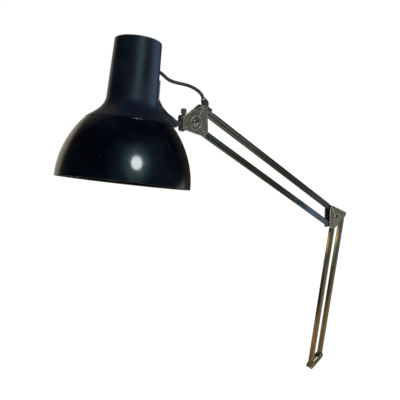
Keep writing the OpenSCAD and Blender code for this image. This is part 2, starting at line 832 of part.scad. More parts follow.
// Bracket: an arm from the spigot up to a saddle screwed to the neck
bracket_screw_r = 1.5;
bracket_screw_z = [saddle_low + 13, saddle_high - 7];
neck_slope = (neck_base_r - neck_top_r) / (neck_top - neck_start);
function neck_r(z) = neck_base_r - (z - neck_start) * neck_slope;

module saddle() {
    low = neck_r(saddle_low) + saddle_t;
    high = neck_r(saddle_high) + saddle_t;
    rotate([0, 0, -saddle_half]) rotate_extrude(angle = 2 * saddle_half)
        polygon([[low - 2 * saddle_t, saddle_low], [low, saddle_low],
            [high, saddle_high], [high - 2 * saddle_t, saddle_high]]);
}

// The bracket starts as a round neck that passes between the head plates
bracket_start = tilt[0] - block_front - 0.4;
bracket_neck_r = half_gap - 0.3;
bracket_neck_l = 5.2;

// The arm's path: a share of the way from the block to the foot of the neck
function bracket_x(share) = -block_front - share * (shade_reach - neck_base_r - block_front);

module shade_bracket() {
    half = bracket_h / 2;
    path = [[-block_front - bracket_neck_l - half, swivel_up], [bracket_x(0.31), 12.4],
        [bracket_x(0.45), 19.5], [bracket_x(0.59), 31], [bracket_x(0.64), 44]];
    radii = [half, half, half - 0.2, half - 0.6, half - 2.2];
    color("#14161c") difference() {
        union() {
            rolled() at(tilt) slab(-bracket_w / 2, bracket_w / 2) for (i = [0:len(path) - 2])
                belt([path[i + 1], path[i]], [radii[i + 1], radii[i]]);
            translate([bracket_start, 0, swivel_z]) rotate([0, -90, 0])
                cylinder(r = bracket_neck_r, h = bracket_neck_l + half);
            in_shade() saddle();
        }
        in_shade() translate([0, 0, neck_start - 6])
            cylinder(r1 = neck_r(neck_start - 6) + fit, r2 = neck_r(neck_top) + fit,
                h = neck_top - neck_start + 6, $fn = 96);
        in_shade() for (z = bracket_screw_z) translate([0, 0, z]) rotate([0, 90, 0]) {
            cylinder(r = bracket_screw_r + fit, h = 2 * neck_base_r);
            translate([0, 0, neck_r(z) + saddle_t]) cylinder(r = 3.2, h = 30);
        }
        translate([spigot_start, 0, swivel_z]) rotate([0, 90, 0])
            cylinder(r = spigot_r, h = 2 * bracket_h);
    }
}

spigot_start = bracket_start - bracket_h;
groove_depth = 0.6;
groove_play = 0.1;

module bracket_spigot() {
    groove = clip_x - groove_play - spigot_start;
    color("#8c8c86") translate([spigot_start, 0, swivel_z]) rotate([0, 90, 0]) {
        cylinder(r = spigot_r, h = groove);
        cylinder(r = spigot_r - groove_depth, h = groove + clip_t + 1);
        translate([0, 0, groove + clip_t + 2 * groove_play]) cylinder(r = spigot_r, h = 1.2);
    }
}

module spigot_clip() {
    color("#999999") translate([clip_x, 0, swivel_z]) rotate([0, 90, 0]) difference() {
        cylinder(r = spigot_r + 1.3, h = clip_t);
        translate([0, 0, -1]) cylinder(r = spigot_r - groove_depth + fit, h = clip_t + 2);
    }
}

module bracket_screws() {
    color("#8c8c86") in_shade() for (z = bracket_screw_z) translate([0, 0, z]) rotate([0, 90, 0]) {
        translate([0, 0, neck_r(z) - neck_wall - 1.5])
            cylinder(r = bracket_screw_r, h = neck_wall + saddle_t + 1.5);
        translate([0, 0, neck_r(z) + saddle_t]) dome(2.8, 1.7);
    }
}

// Lampholder on a threaded tube through the neck's top, and the bulb
holder_top = neck_top - neck_wall - 6;
holder_low = holder_top - holder_h;
socket_h = 30;
cap_h = 25;
contact_t = 1.4;
cap_top = holder_low + socket_h - contact_t;

module holder_stem() {
    color("#b08d4a") in_shade() difference() {
        translate([0, 0, holder_top - 8]) cylinder(r = stem_r, h = neck_top - holder_top + 11);
        translate([0, 0, holder_top - 9]) cylinder(r = stem_r - 1.4, h = neck_top - holder_top + 13);
    }
}

module holder_nut() {
    color("#8c8c86") in_shade() difference() {
        translate([0, 0, neck_top]) cylinder(r = stem_r + 3.4, h = 2.4, $fn = 6);
        translate([0, 0, neck_top - 1]) cylinder(r = stem_r + fit, h = 5);
    }
}

module lamp_holder() {
    shoulder = holder_h - 22;
    color("#1a1512") in_shade() translate([0, 0, holder_low]) difference() {
        rotate_extrude() polygon([[0, 0], [holder_r, 0], [holder_r, shoulder - 3],
            [holder_r - 2.5, shoulder], [holder_r - 2.5, holder_h - 8],
            [holder_r - 8.5, holder_h], [0, holder_h]]);
        translate([0, 0, -1]) cylinder(r = cap_r + 1.4, h = socket_h + 1);
        translate([0, 0, holder_h - 8.4]) cylinder(r = stem_r + fit, h = 10);
    }
}

module holder_contacts() {
    color("#b08d4a") in_shade() translate([0, 0, holder_low]) {
        difference() {
            translate([0, 0, 5]) cylinder(r = cap_r + 1.35, h = socket_h - 6);
            translate([0, 0, 4]) cylinder(r = cap_r + fit, h = socket_h);
        }
        translate([-5, -3, socket_h - contact_t]) cube([10, 6, contact_t]);
    }
}

module bulb_cap() {
    color("#a8a08a") in_shade() translate([0, 0, cap_top - cap_h]) {
        rotate_extrude() polygon([[0, 0], [cap_r, 0], [cap_r, cap_h - 5], [cap_r - 3, cap_h - 2.5],
            [4.5, cap_h - 1.2], [4.5, cap_h], [0, cap_h]]);
    }
}

module bulb_glass() {
    low = cap_top - cap_h - glass_h;
    glass_t = 0.9;
    mid = low + globe_r;
    tip = 65;
    hip = [globe_r * sin(tip + 45), mid - globe_r * cos(tip + 45)];
    outer = concat([for (a = [0:10:tip + 45]) [globe_r * sin(a), mid - globe_r * cos(a)]],
        curve(hip, hip + globe_r * [-0.24, 0.41], [cap_r - 0.3, low + 0.74 * glass_h],
            [cap_r - 0.3, low + glass_h], 6));
    inner = [for (p = reversed(outer)) [max(p[0] - glass_t, 0),
        min(p[1], low + glass_h) + (p[0] < globe_r * 0.7 && p[1] < mid ? glass_t : 0)]];
    color("#e8e6dc") in_shade() rotate_extrude() polygon(concat(outer, inner));
}

// Grommet in the neck's wall, and the lead from it to the lampholder
grommet_out = neck_r(lead_hole_h) + 1.2;

module lead_grommet() {
    wall_in = neck_r(lead_hole_h) - neck_wall;
    color("#111111") in_shade() translate([0, 0, lead_hole_h]) rotate([0, 90, 0]) difference() {
        union() {
            translate([0, 0, wall_in - 1.6]) cylinder(r = lead_hole_r - fit, h = grommet_out - wall_in + 1.6);
            translate([0, 0, grommet_out - 0.8]) cylinder(r = lead_hole_r + 1, h = 1.6);
            translate([0, 0, wall_in - 2.2]) cylinder(r = lead_hole_r + 1, h = 1.4);
        }
        translate([0, 0, wall_in - 4]) cylinder(r = lead_r + fit, h = 12);
    }
}

// Ends where the free lead starts, as seen along the grommet
module neck_lead() {
    start = holder_r + fit;
    end = (route_by_neck[0] - [shade_x, 0, swivel_z]) * neck_way;
    color("#0e0f14") in_shade() translate([start, 0, lead_hole_h]) rotate([0, 90, 0])
        cylinder(r = lead_r, h = end - start);
}

// Free lead from the neck to the boot: its route, chosen by hand, in three runs
lead_sides = 10;
route_by_neck = [[-394.7, 18.7, 703.8], [-390, 18.5, 702], [-385.4, 18.3, 699.3],
    [-380.6, 17.8, 695.2], [-375, 16.6, 690], [-368, 14.5, 686]];
route_middle = [[-368, 14.5, 686], [-359, 11.9, 682.9], [-350.5, 9, 680.3],
    [-343.6, 6.5, 677.8], [-337.6, 4.2, 674.6]];
route_by_boot = [[-337.6, 4.2, 674.6], [-332.2, 2.2, 670.9], [-327.4, 0.7, 666.5],
    [-323.9, 0, 661.8], [-321.5, 0, 656.4], [-319.1, 0, 650.9]];

function unit(v) = v / norm(v);
function heading(route, i) = unit(route[min(i + 1, len(route) - 1)] - route[max(i - 1, 0)]);
function ring(centre, way) = let (u = unit(cross(way, [0, 1, 0])), v = cross(way, u))
    [for (k = [0:lead_sides - 1]) let (a = 360 * k / lead_sides)
        centre + lead_r * (cos(a) * u + sin(a) * v)];

module lead_run(route, first_way, last_way) {
    last = len(route) - 1;
    points = [for (i = [0:last]) each ring(route[i],
        i == 0 ? unit(first_way) : i == last ? unit(last_way) : heading(route, i))];
    walls = [for (i = [0:last - 1]) for (k = [0:lead_sides - 1])
        let (a = i * lead_sides + k, b = i * lead_sides + (k + 1) % lead_sides)
        each [[a, b, b + lead_sides], [a, b + lead_sides, a + lead_sides]]];
    low_end = [for (k = [lead_sides - 1:-1:0]) k];
    high_end = [for (k = [0:lead_sides - 1]) last * lead_sides + k];
    polyhedron(points = points, faces = concat(walls, [low_end, high_end]));
}

// Directions in which the lead leaves the neck, and passes from one run to the next
neck_way = [cos(shade_aim), -sin(shade_aim) * sin(shade_roll), -sin(shade_aim) * cos(shade_roll)];
middle_start = route_middle[1] - route_by_neck[len(route_by_neck) - 2];
middle_end = route_by_boot[1] - route_middle[len(route_middle) - 2];

module lead_by_neck() {
    color("#0e0f14") lead_run(route_by_neck, neck_way, middle_start);
}

module lead_middle() {
    color("#0e0f14") lead_run(route_middle, middle_start, middle_end);
}

module lead_by_boot() {
    color("#0e0f14") lead_run(route_by_boot, middle_end, -[tower_way[0], 0, tower_way[1]]);
}

foot_link_near();
foot_link_far();
foot_bush();
foot_rivet();
foot_washers();
lower_front_bar();
lower_spring();
lower_spring_anchor();
lower_rear_bar();
lower_cores();
elbow_plate_near();
elbow_plate_far();
elbow_rivets();
elbow_washers();
elbow_spacer();
elbow_bolt();
elbow_nut();
elbow_spring_post();
elbow_cores();
upper_top_bar();
upper_cores();
lead_boot();
boot_clip();
upper_low_bar();
upper_spring();
upper_spring_anchor();
head_plate_near();
head_plate_far();
head_rivets();
head_washers();
head_spacer();
head_bolt();
head_nut();
head_spring_post();
tilt_rivet();
tilt_block();
clamp_pad();
clamp_screw();
clamp_knob();
shade_bracket();
bracket_spigot();
spigot_clip();
bracket_screws();
shade_dome();
shade_neck();
dome_screws();
holder_stem();
holder_nut();
lamp_holder();
holder_contacts();
bulb_cap();
bulb_glass();
lead_grommet();
neck_lead();
lead_by_neck();
lead_middle();
lead_by_boot();
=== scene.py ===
import json
import math
from types import SimpleNamespace

import bpy
import numpy as np
from mathutils import Matrix, Vector

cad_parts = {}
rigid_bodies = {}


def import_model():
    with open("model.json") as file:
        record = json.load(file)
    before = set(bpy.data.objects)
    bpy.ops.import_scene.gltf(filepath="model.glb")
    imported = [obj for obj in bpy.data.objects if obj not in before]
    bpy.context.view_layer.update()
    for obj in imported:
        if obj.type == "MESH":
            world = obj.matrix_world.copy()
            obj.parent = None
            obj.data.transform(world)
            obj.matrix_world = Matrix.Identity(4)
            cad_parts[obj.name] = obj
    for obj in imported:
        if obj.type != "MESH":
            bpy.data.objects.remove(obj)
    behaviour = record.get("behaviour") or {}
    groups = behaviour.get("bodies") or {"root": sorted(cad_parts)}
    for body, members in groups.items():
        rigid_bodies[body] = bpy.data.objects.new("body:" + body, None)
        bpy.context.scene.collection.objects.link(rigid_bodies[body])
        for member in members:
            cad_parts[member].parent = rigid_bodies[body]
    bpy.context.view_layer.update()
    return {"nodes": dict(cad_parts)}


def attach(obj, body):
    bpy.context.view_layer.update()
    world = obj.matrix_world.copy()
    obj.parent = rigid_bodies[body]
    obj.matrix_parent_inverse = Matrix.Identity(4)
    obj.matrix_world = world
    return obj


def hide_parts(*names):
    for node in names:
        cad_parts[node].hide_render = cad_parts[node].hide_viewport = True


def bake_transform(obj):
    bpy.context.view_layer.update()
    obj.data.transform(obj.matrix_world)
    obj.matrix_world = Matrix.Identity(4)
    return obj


for stray in list(bpy.data.objects):  # the start-up cube, lamp and camera
    bpy.data.objects.remove(stray)

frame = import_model()
mm = 0.001
print("frame loaded")


# Camera

cameraLook = {
    "place": (-0.8885, -0.6643, 0.8487),
    "forward": (0.5968, 0.7071, -0.3793),
    "lens": 52.34,
}
cameraData = bpy.data.cameras.new("photoCamera")
cameraData.lens = cameraLook["lens"]
cameraData.clip_start = 0.01
cameraData.clip_end = 80
camera = bpy.data.objects.new("photoCamera", cameraData)
camera.location = cameraLook["place"]
camera.rotation_euler = Vector(cameraLook["forward"]).to_track_quat("-Z", "Y").to_euler()
bpy.context.collection.objects.link(camera)
bpy.context.scene.camera = camera
print("camera placed")


# Places on the lamp

# Pivots in the lamp's plane, x and z in metres
pivots = {
    "footFront": (0, 0),
    "footRear": (0.029908, 0.013946),
    "elbowLow": (0.023166, 0.344254),
    "elbowFront": (0.033666, 0.343354),
    "elbowRear": (0.063574, 0.357300),
    "elbowTop": (0.020145, 0.382635),
    "elbowRing": (0.036866, 0.357254),
    "headLow": (-0.323891, 0.604834),
    "headTop": (-0.326912, 0.643215),
    "headRing": (-0.340391, 0.623634),
    "tilt": (-0.359391, 0.621534),
}
upperAngle = 36.9  # how far the upper arm falls towards the elbow, in degrees
lowerAngle = 84.4  # how far the lower arm rises towards the elbow


def turning(degrees, axis):
    return Matrix.Rotation(math.radians(degrees), 4, axis)


def acrossLamp(x, z):
    return Matrix.Translation((x, 0, z)) @ turning(90, "X")


# The shade's own frame: rim centre at the origin, axis +Z
shadeStance = {"middle": (-0.458391, 0, 0.627034), "aside": -13.7, "forward": 19.3, "middleHeight": 0.0694}
shadeFrame = (
    Matrix.Translation(shadeStance["middle"])
    @ turning(shadeStance["aside"], "X")
    @ turning(shadeStance["forward"], "Y")
    @ Matrix.Translation((0, 0, -shadeStance["middleHeight"]))
)


# Small helpers for working by hand

weldGaps = {"cord": 0.00001, "turned": 0.000008, "copied": 0.000002}
onAxis = 0.0005  # radius, in mm, of an outline's point on the axis; its ring is welded shut


def deselectAll():
    if bpy.context.object and bpy.context.object.mode != "OBJECT":
        bpy.ops.object.mode_set(mode="OBJECT")
    bpy.ops.object.select_all(action="DESELECT")


def takeUp(piece):
    deselectAll()
    piece.select_set(True)
    bpy.context.view_layer.objects.active = piece


def nameIt(name):
    piece = bpy.context.object
    piece.name = name
    piece.data.name = name
    return piece


def settle(piece, place=None):
    if place is not None:
        piece.matrix_world = place @ piece.matrix_world
    takeUp(piece)
    bpy.ops.object.transform_apply(location=True, rotation=True, scale=True)


def useModifier(piece, kind, **values):
    takeUp(piece)
    modifier = piece.modifiers.new(kind.lower(), kind)
    for key, value in values.items():
        setattr(modifier, key, value)
    bpy.ops.object.modifier_apply(modifier=modifier.name)


def roundEdges(piece, width, segments, angle):
    useModifier(piece, "BEVEL", width=width * mm, segments=segments, limit_method="ANGLE",
                angle_limit=math.radians(angle))


def tidyMesh(piece, distance):
    takeUp(piece)
    bpy.ops.object.mode_set(mode="EDIT")
    bpy.ops.mesh.select_all(action="SELECT")
    bpy.ops.mesh.remove_doubles(threshold=distance)
    bpy.ops.mesh.normals_make_consistent(inside=False)
    bpy.ops.object.mode_set(mode="OBJECT")


def smoothShade(piece, angle):
    takeUp(piece)
    bpy.ops.object.shade_smooth_by_angle(angle=math.radians(angle))


# A point is extruded along the outline, given in mm, then the line is spun round Z
def turned(name, outline, steps, closed=True):
    deselectAll()
    points = [(r * mm, z * mm) for r, z in outline]
    if closed:
        points.append(points[0])
    bpy.ops.mesh.primitive_plane_add(size=mm, location=(points[0][0], 0, points[0][1]))
    piece = nameIt(name)
    bpy.ops.object.mode_set(mode="EDIT")
    bpy.ops.mesh.merge(type="CENTER")
    for (r0, z0), (r1, z1) in zip(points, points[1:]):
        bpy.ops.mesh.extrude_region_move(TRANSFORM_OT_translate={"value": (r1 - r0, 0, z1 - z0)})
    bpy.ops.mesh.select_all(action="SELECT")
    bpy.ops.mesh.spin(steps=steps, angle=math.tau, center=(0, 0, 0), axis=(0, 0, 1))
    bpy.ops.object.mode_set(mode="OBJECT")
    settle(piece)
    tidyMesh(piece, weldGaps["turned"])
    return piece


# A merged copy of a CAD node, to be softened and shown in its place
def copyNode(node, name):
    piece = bpy.data.objects.new(name, frame["nodes"][node].data.copy())
    piece.data.name = name
    bpy.context.collection.objects.link(piece)
    piece.data.materials.clear()
    takeUp(piece)
    if piece.data.has_custom_normals:
        bpy.ops.mesh.customdata_custom_splitnormals_clear()
    bpy.ops.object.mode_set(mode="EDIT")
    bpy.ops.mesh.select_all(action="SELECT")
    bpy.ops.mesh.remove_doubles(threshold=weldGaps["copied"])
    bpy.ops.object.mode_set(mode="OBJECT")
    return piece


def joined(pieces, name):
    takeUp(pieces[0])
    for piece in pieces[1:]:
        piece.select_set(True)
    bpy.ops.object.join()
    return nameIt(name)


def carve(piece, cutter):
    useModifier(piece, "BOOLEAN", operation="DIFFERENCE", solver="EXACT", object=cutter)
    bpy.data.objects.remove(cutter)


def boxCutter(name, place, size):
    deselectAll()
    bpy.ops.mesh.primitive_cube_add(size=1, location=place)
    cutter = nameIt(name)
    cutter.scale = size
    settle(cutter)
    return cutter


def readVectors(mesh, key):
    flat = np.zeros(len(mesh.vertices) * 3)
    mesh.vertices.foreach_get(key, flat)
    return flat.reshape(-1, 3)


# Keeps a piece's own coordinates, in millimetres, for its material
def rememberPlace(piece):
    mark = piece.data.attributes.new("ownPlace", "FLOAT_VECTOR", "POINT")
    mark.data.foreach_set("vector", readVectors(piece.data, "co").astype(np.float32).ravel() / mm)


# Marks how sharply the surface turns outwards at each point: 1 on worn edges, 0 in hollows, where the steels
# paint shade
def markWearAndShade(piece, reach):
    mesh = piece.data
    spots, normals = readVectors(mesh, "co"), readVectors(mesh, "normal")
    count = len(spots)
    ends = np.zeros(len(mesh.edges) * 2, int)
    mesh.edges.foreach_get("vertices", ends)
    a, b = ends.reshape(-1, 2).T
    turn, total = np.zeros(count), np.zeros(count)
    for p, q in ((a, b), (b, a)):
        step = spots[q] - spots[p]
        length = np.maximum(np.linalg.norm(step, axis=1), 1e-9)
        np.add.at(turn, p, -(step * normals[p]).sum(1) / length)
        np.add.at(total, p, 1)
    turn /= np.maximum(total, 1)
    for _ in range(3):  # spread to the neighbours
        near, total = turn.copy(), np.ones(count)
        for p, q in ((a, b), (b, a)):
            np.add.at(near, p, turn[q])
            np.add.at(total, p, 1)
        turn = near / total
    mark = mesh.attributes.new("wearAndShade", "FLOAT", "POINT")
    mark.data.foreach_set("value", np.clip(0.5 + turn * reach, 0, 1).astype(np.float32))


def finishPiece(piece, material, body=None, nodes=()):
    if not piece.data.materials:
        piece.data.materials.append(material)
    if body:
        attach(piece, body)
    if nodes:
        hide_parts(*nodes)


# Places, shades and finishes a piece that was made at the origin
def setPiece(piece, place, angle, material, body, node, wearAndShade=0):
    settle(piece, place)
    smoothShade(piece, angle)
    if wearAndShade:
        markWearAndShade(piece, wearAndShade)
    finishPiece(piece, material, body, [node])


# Node helpers: an input takes a value or another node's output, and a node is added beside its source


def fill(node, values):
    for key, value in values.items():
        socket = node.inputs[key]
        if isinstance(value, bpy.types.NodeSocket):
            node.id_data.links.new(value, socket)
        else:
            socket.default_value = (*value, 1) if socket.type == "RGBA" else value


def addNode(source, kind, values, **settings):
    node = source.id_data.nodes.new("ShaderNode" + kind)
    for key, value in settings.items():
        setattr(node, key, value)
    fill(node, values)
    return node


def startMaterial(name):
    material = bpy.data.materials.new(name)
    material.use_nodes = True
    tree = material.node_tree
    return material, tree, tree.nodes["Principled BSDF"]


# Object coordinates, turned first and then drawn out along the turned axes
def objectSpace(tree, turn=(0, 0, 0), stretch=(1, 1, 1)):
    spots = addNode(tree, "TexCoord", {}).outputs["Object"]
    values = {"Vector": spots, "Rotation": [math.radians(t) for t in turn], "Scale": stretch}
    return addNode(tree, "Mapping", values, vector_type="TEXTURE").outputs["Vector"]


def marked(tree, name, output="Fac"):
    return addNode(tree, "Attribute", {}, attribute_name=name).outputs[output]


def noise(spots, scale, detail=3, rough=0.55, distortion=0.0):
    values = {"Vector": spots, "Scale": scale, "Detail": detail, "Roughness": rough, "Distortion": distortion}
    return addNode(spots, "TexNoise", values).outputs["Fac"]


def span(value, low, high, outLow=0.0, outHigh=1.0):
    values = {"Value": value, "From Min": low, "From Max": high, "To Min": outLow, "To Max": outHigh}
    return addNode(value, "MapRange", values, interpolation_type="SMOOTHSTEP").outputs["Result"]


def calc(operation, first, second=0):
    return addNode(first, "Math", {0: first, 1: second}, operation=operation).outputs[0]


def times(first, second):
    return calc("MULTIPLY", first, second)


def blendColour(share, first, second):
    return addNode(share, "Mix", {0: share, 6: first, 7: second}, data_type="RGBA").outputs[2]


def colourRamp(value, stops):
    node = addNode(value, "ValToRGB", {"Fac": value})
    elements = node.color_ramp.elements
    while len(elements) < len(stops):
        elements.new(0.5)
    for element, (place, colour) in zip(elements, stops):
        element.position = place
        element.color = (*colour, 1)
    return node.outputs["Color"]


def splitSpots(spots):
    return addNode(spots, "SeparateXYZ", {0: spots}).outputs


def roughen(surface, height, strength, depth=0.0002):
    bump = addNode(height, "Bump", {"Strength": strength, "Distance": depth, "Height": height})
    fill(surface, {"Normal": bump.outputs["Normal"]})


# A value that follows a noise over its middle range
def cloudy(cloud, values):
    return span(cloud, 0.3, 0.7, *values)


# Specks: small dots at random places
def specks(spots, scale, size, share):
    cells = addNode(spots, "TexVoronoi", {"Vector": spots, "Scale": scale})
    dot = span(cells.outputs["Distance"], size, size * 0.4)
    shown = calc("LESS_THAN", splitSpots(cells.outputs["Color"])[0], share)
    return times(dot, shown)


# Materials

domeLook = {
    "black": (0.0006, 0.0008, 0.0022), "dust": (0.05, 0.06, 0.065), "haze": (0.0025, 0.005, 0.008),
    "underRoughness": (0.3, 0.42), "coatRoughness": (0.11, 0.19), "coat": 0.8, "peel": 0.05,
    "specular": 0.08, "tint": (0.62, 0.92, 1.0), "dustShare": 0.6, "scratchShare": 0.5,
}
# one thin scratch down the front of the dome, in mm on its own axes
scratchLook = {"aside": 14, "middle": 40, "bend": 0.006, "width": (0.35, 0.12), "front": (-40, -46),
               "low": (30, 40), "high": (76, 66)}
domePaint, tree, surface = startMaterial("blackGlossPaint")
spots = objectSpace(tree)
smudge = noise(spots, 16, 4, 0.6)
dots = calc("MAXIMUM", specks(spots, 150, 0.09, 0.16), specks(spots, 420, 0.13, 0.22))
own = splitSpots(marked(tree, "ownPlace", "Vector"))
drift = calc("POWER", calc("SUBTRACT", own[2], scratchLook["middle"]), 2)
drift = times(drift, scratchLook["bend"])
scratchAt = calc("SUBTRACT", calc("ADD", own[0], drift), scratchLook["aside"])
scratch = span(calc("ABSOLUTE", scratchAt), *scratchLook["width"])
scratch = times(scratch, span(own[1], *scratchLook["front"]))
for end in ("low", "high"):
    scratch = times(scratch, span(own[2], *scratchLook[end]))
scratch = times(scratch, span(noise(spots, 260, 2), 0.4, 0.6))
colour = blendColour(span(smudge, 0.42, 0.72), domeLook["black"], domeLook["haze"])
colour = blendColour(times(dots, domeLook["dustShare"]), colour, domeLook["dust"])
colour = blendColour(times(scratch, domeLook["scratchShare"]), colour, domeLook["dust"])
fill(surface, {
    "Base Color": colour,
    "Roughness": span(smudge, 0.3, 0.75, *domeLook["underRoughness"]),
    "Specular IOR Level": domeLook["specular"],
    "Specular Tint": domeLook["tint"],
    "Coat Weight": domeLook["coat"],
    "Coat Roughness": span(noise(spots, 60, 5, 0.7), 0.35, 0.7, *domeLook["coatRoughness"]),
})
roughen(surface, noise(spots, 420, 2), domeLook["peel"], 0.0004)

enamelLook = {
    "white": (0.78, 0.77, 0.72), "warmed": (0.62, 0.56, 0.44), "warmFrom": (40, 82),
    "roughness": (0.38, 0.55), "bump": 0.12,
}
enamel, tree, surface = startMaterial("whiteInside")
spots = objectSpace(tree)
own = splitSpots(marked(tree, "ownPlace", "Vector"))
heat = times(span(own[2], *enamelLook["warmFrom"]), span(noise(spots, 30, 4), 0.3, 0.7))
fill(surface, {
    "Base Color": blendColour(heat, enamelLook["white"], enamelLook["warmed"]),
    "Roughness": cloudy(noise(spots, 60), enamelLook["roughness"]),
})
roughen(surface, noise(spots, 700, 2), enamelLook["bump"], 0.0004)

neckLook = {
    "black": (0.0035, 0.0045, 0.0105), "faded": (0.007, 0.0105, 0.018), "speck": (0.07, 0.08, 0.08),
    "edge": (0.05, 0.042, 0.032), "edgeFrom": (195.8, 197.6), "edgeTo": (198.9, 198.2),
    "roughness": (0.3, 0.42), "specular": 0.6, "grain": 0.045,
}
neckPaint, tree, surface = startMaterial("blackSatinPaint")
spots = objectSpace(tree)
cloud = noise(spots, 22, 5, 0.62)
colour = blendColour(span(cloud, 0.35, 0.7), neckLook["black"], neckLook["faded"])
colour = blendColour(specks(spots, 190, 0.08, 0.1), colour, neckLook["speck"])
own = splitSpots(marked(tree, "ownPlace", "Vector"))
rubbed = times(span(own[2], *neckLook["edgeFrom"]), span(own[2], *neckLook["edgeTo"]))
rubbed = times(rubbed, span(noise(spots, 90, 4), 0.38, 0.62))
fill(surface, {
    "Base Color": blendColour(rubbed, colour, neckLook["edge"]),
    "Roughness": cloudy(cloud, neckLook["roughness"]),
    "Specular IOR Level": neckLook["specular"],
})
roughen(surface, noise(spots, 900, 2), neckLook["grain"])

blackWear = {"edge": (0.56, 0.68), "patchy": (0.3, 0.6)}


# Black castings and mouldings
def blackMaterial(name, look):
    material, tree, surface = startMaterial(name)
    spots = objectSpace(tree)
    cloud = noise(spots, look["cloud"], 4, 0.6)
    colour = blendColour(span(cloud, 0.35, 0.7), look["dark"], look["light"])
    if "worn" in look:
        edge = span(marked(tree, "wearAndShade"), *blackWear["edge"])
        edge = times(edge, span(cloud, *blackWear["patchy"]))
        colour = blendColour(edge, colour, look["worn"])
    fill(surface, {"Base Color": colour, "Roughness": cloudy(cloud, look["roughness"])})
    roughen(surface, noise(spots, look["grain"], 2), look["bump"])
    return material


bracketBlack = blackMaterial(
    "bracketBlack",
    {"dark": (0.008, 0.009, 0.014), "light": (0.018, 0.02, 0.028), "worn": (0.07, 0.07, 0.075),
     "cloud": 60, "roughness": (0.3, 0.45), "grain": 900, "bump": 0.18},
)
leadBlack = blackMaterial(
    "leadSheath",
    {"dark": (0.010, 0.011, 0.018), "light": (0.022, 0.026, 0.036),
     "cloud": 120, "roughness": (0.34, 0.5), "grain": 1600, "bump": 0.12},
)
bootBlack = blackMaterial(
    "bootRubber",
    {"dark": (0.008, 0.009, 0.013), "light": (0.02, 0.022, 0.03), "worn": (0.05, 0.05, 0.05),
     "cloud": 140, "roughness": (0.42, 0.6), "grain": 1400, "bump": 0.2},
)
knobBlack = blackMaterial(
    "knobPlastic",
    {"dark": (0.026, 0.028, 0.04), "light": (0.062, 0.066, 0.086), "worn": (0.12, 0.12, 0.14),
     "cloud": 200, "roughness": (0.18, 0.3), "grain": 900, "bump": 0.08},
)
holderBrown = blackMaterial(
    "holderBakelite",
    {"dark": (0.012, 0.008, 0.006), "light": (0.03, 0.02, 0.014),
     "cloud": 80, "roughness": (0.2, 0.34), "grain": 500, "bump": 0.05},
)

plainSteel = {"metallic": 1.0, "brush": (1, 1, 1)}
pressedSteel = {"metallic": 0.8, "cloud": 130, "roughness": (0.34, 0.5), "brush": (1, 1, 3.3), "bump": 0.12}
steelWearAndShade = {"hollow": (0.49, 0.42), "hollowShadeShare": 0.75, "edge": (0.53, 0.62), "patchy": (0.25, 0.5)}


# Bare metal: clouded, and where it is marked, darker in the hollows with painted shade and rubbed bright on
# the edges
def steelMaterial(name, look):
    material, tree, surface = startMaterial(name)
    cloud = noise(objectSpace(tree), look["cloud"], 5, 0.62, 0.4)
    colour = colourRamp(cloud, [(0.3, look["dark"]), (0.52, look["middle"]), (0.75, look["light"])])
    if "worn" in look:
        wearAndShade = marked(tree, "wearAndShade")
        # painted shade: the hollows are darkened
        hollowShade = times(span(wearAndShade, *steelWearAndShade["hollow"]), steelWearAndShade["hollowShadeShare"])
        colour = blendColour(hollowShade, colour, look["hollowShade"])
        bright = times(span(wearAndShade, *steelWearAndShade["edge"]), span(cloud, *steelWearAndShade["patchy"]))
        colour = blendColour(bright, colour, look["worn"])
    fill(surface, {
        "Base Color": colour, "Metallic": look["metallic"],
        "Roughness": cloudy(cloud, look["roughness"]),
    })
    brushed = objectSpace(tree, stretch=look["brush"])
    roughen(surface, noise(brushed, 500, 3), look["bump"])
    return material


# the dark hollow colour in each worn steel below is painted shade
plateSteel = steelMaterial(
    "plateSteel",
    {**pressedSteel, "roughness": (0.36, 0.52),
     "dark": (0.085, 0.087, 0.068), "middle": (0.142, 0.145, 0.118), "light": (0.2, 0.2, 0.165),
     "hollowShade": (0.025, 0.022, 0.015), "worn": (0.36, 0.35, 0.28)},
)
elbowSteel = steelMaterial(
    "elbowSteel",
    {**pressedSteel,
     "dark": (0.085, 0.082, 0.06), "middle": (0.135, 0.13, 0.1), "light": (0.19, 0.185, 0.145),
     "hollowShade": (0.03, 0.027, 0.018), "worn": (0.6, 0.57, 0.46)},
)
footSteel = steelMaterial(
    "footSteel",
    {**pressedSteel,
     "dark": (0.062, 0.05, 0.015), "middle": (0.1, 0.082, 0.026), "light": (0.155, 0.132, 0.05),
     "hollowShade": (0.022, 0.017, 0.008), "worn": (0.4, 0.37, 0.24)},
)
boltSteel = steelMaterial(
    "boltSteel",
    {**plainSteel, "metallic": 0.9,
     "dark": (0.1, 0.1, 0.085), "middle": (0.2, 0.2, 0.17), "light": (0.32, 0.32, 0.28),
     "hollowShade": (0.012, 0.011, 0.009), "worn": (0.34, 0.33, 0.28),
     "cloud": 240, "roughness": (0.22, 0.36), "bump": 0.1},
)
rivetSteel = steelMaterial(
    "rivetSteel",
    {**plainSteel, "metallic": 0.85,
     "dark": (0.08, 0.076, 0.06), "middle": (0.15, 0.145, 0.118), "light": (0.22, 0.21, 0.175),
     "hollowShade": (0.012, 0.011, 0.009), "worn": (0.42, 0.4, 0.33),
     "cloud": 260, "roughness": (0.26, 0.42), "bump": 0.1},
)
brightSteel = steelMaterial(
    "brightSteel",
    {**plainSteel, "dark": (0.42, 0.42, 0.41), "middle": (0.6, 0.6, 0.59), "light": (0.74, 0.74, 0.73),
     "cloud": 300, "roughness": (0.16, 0.3), "bump": 0.06},
)
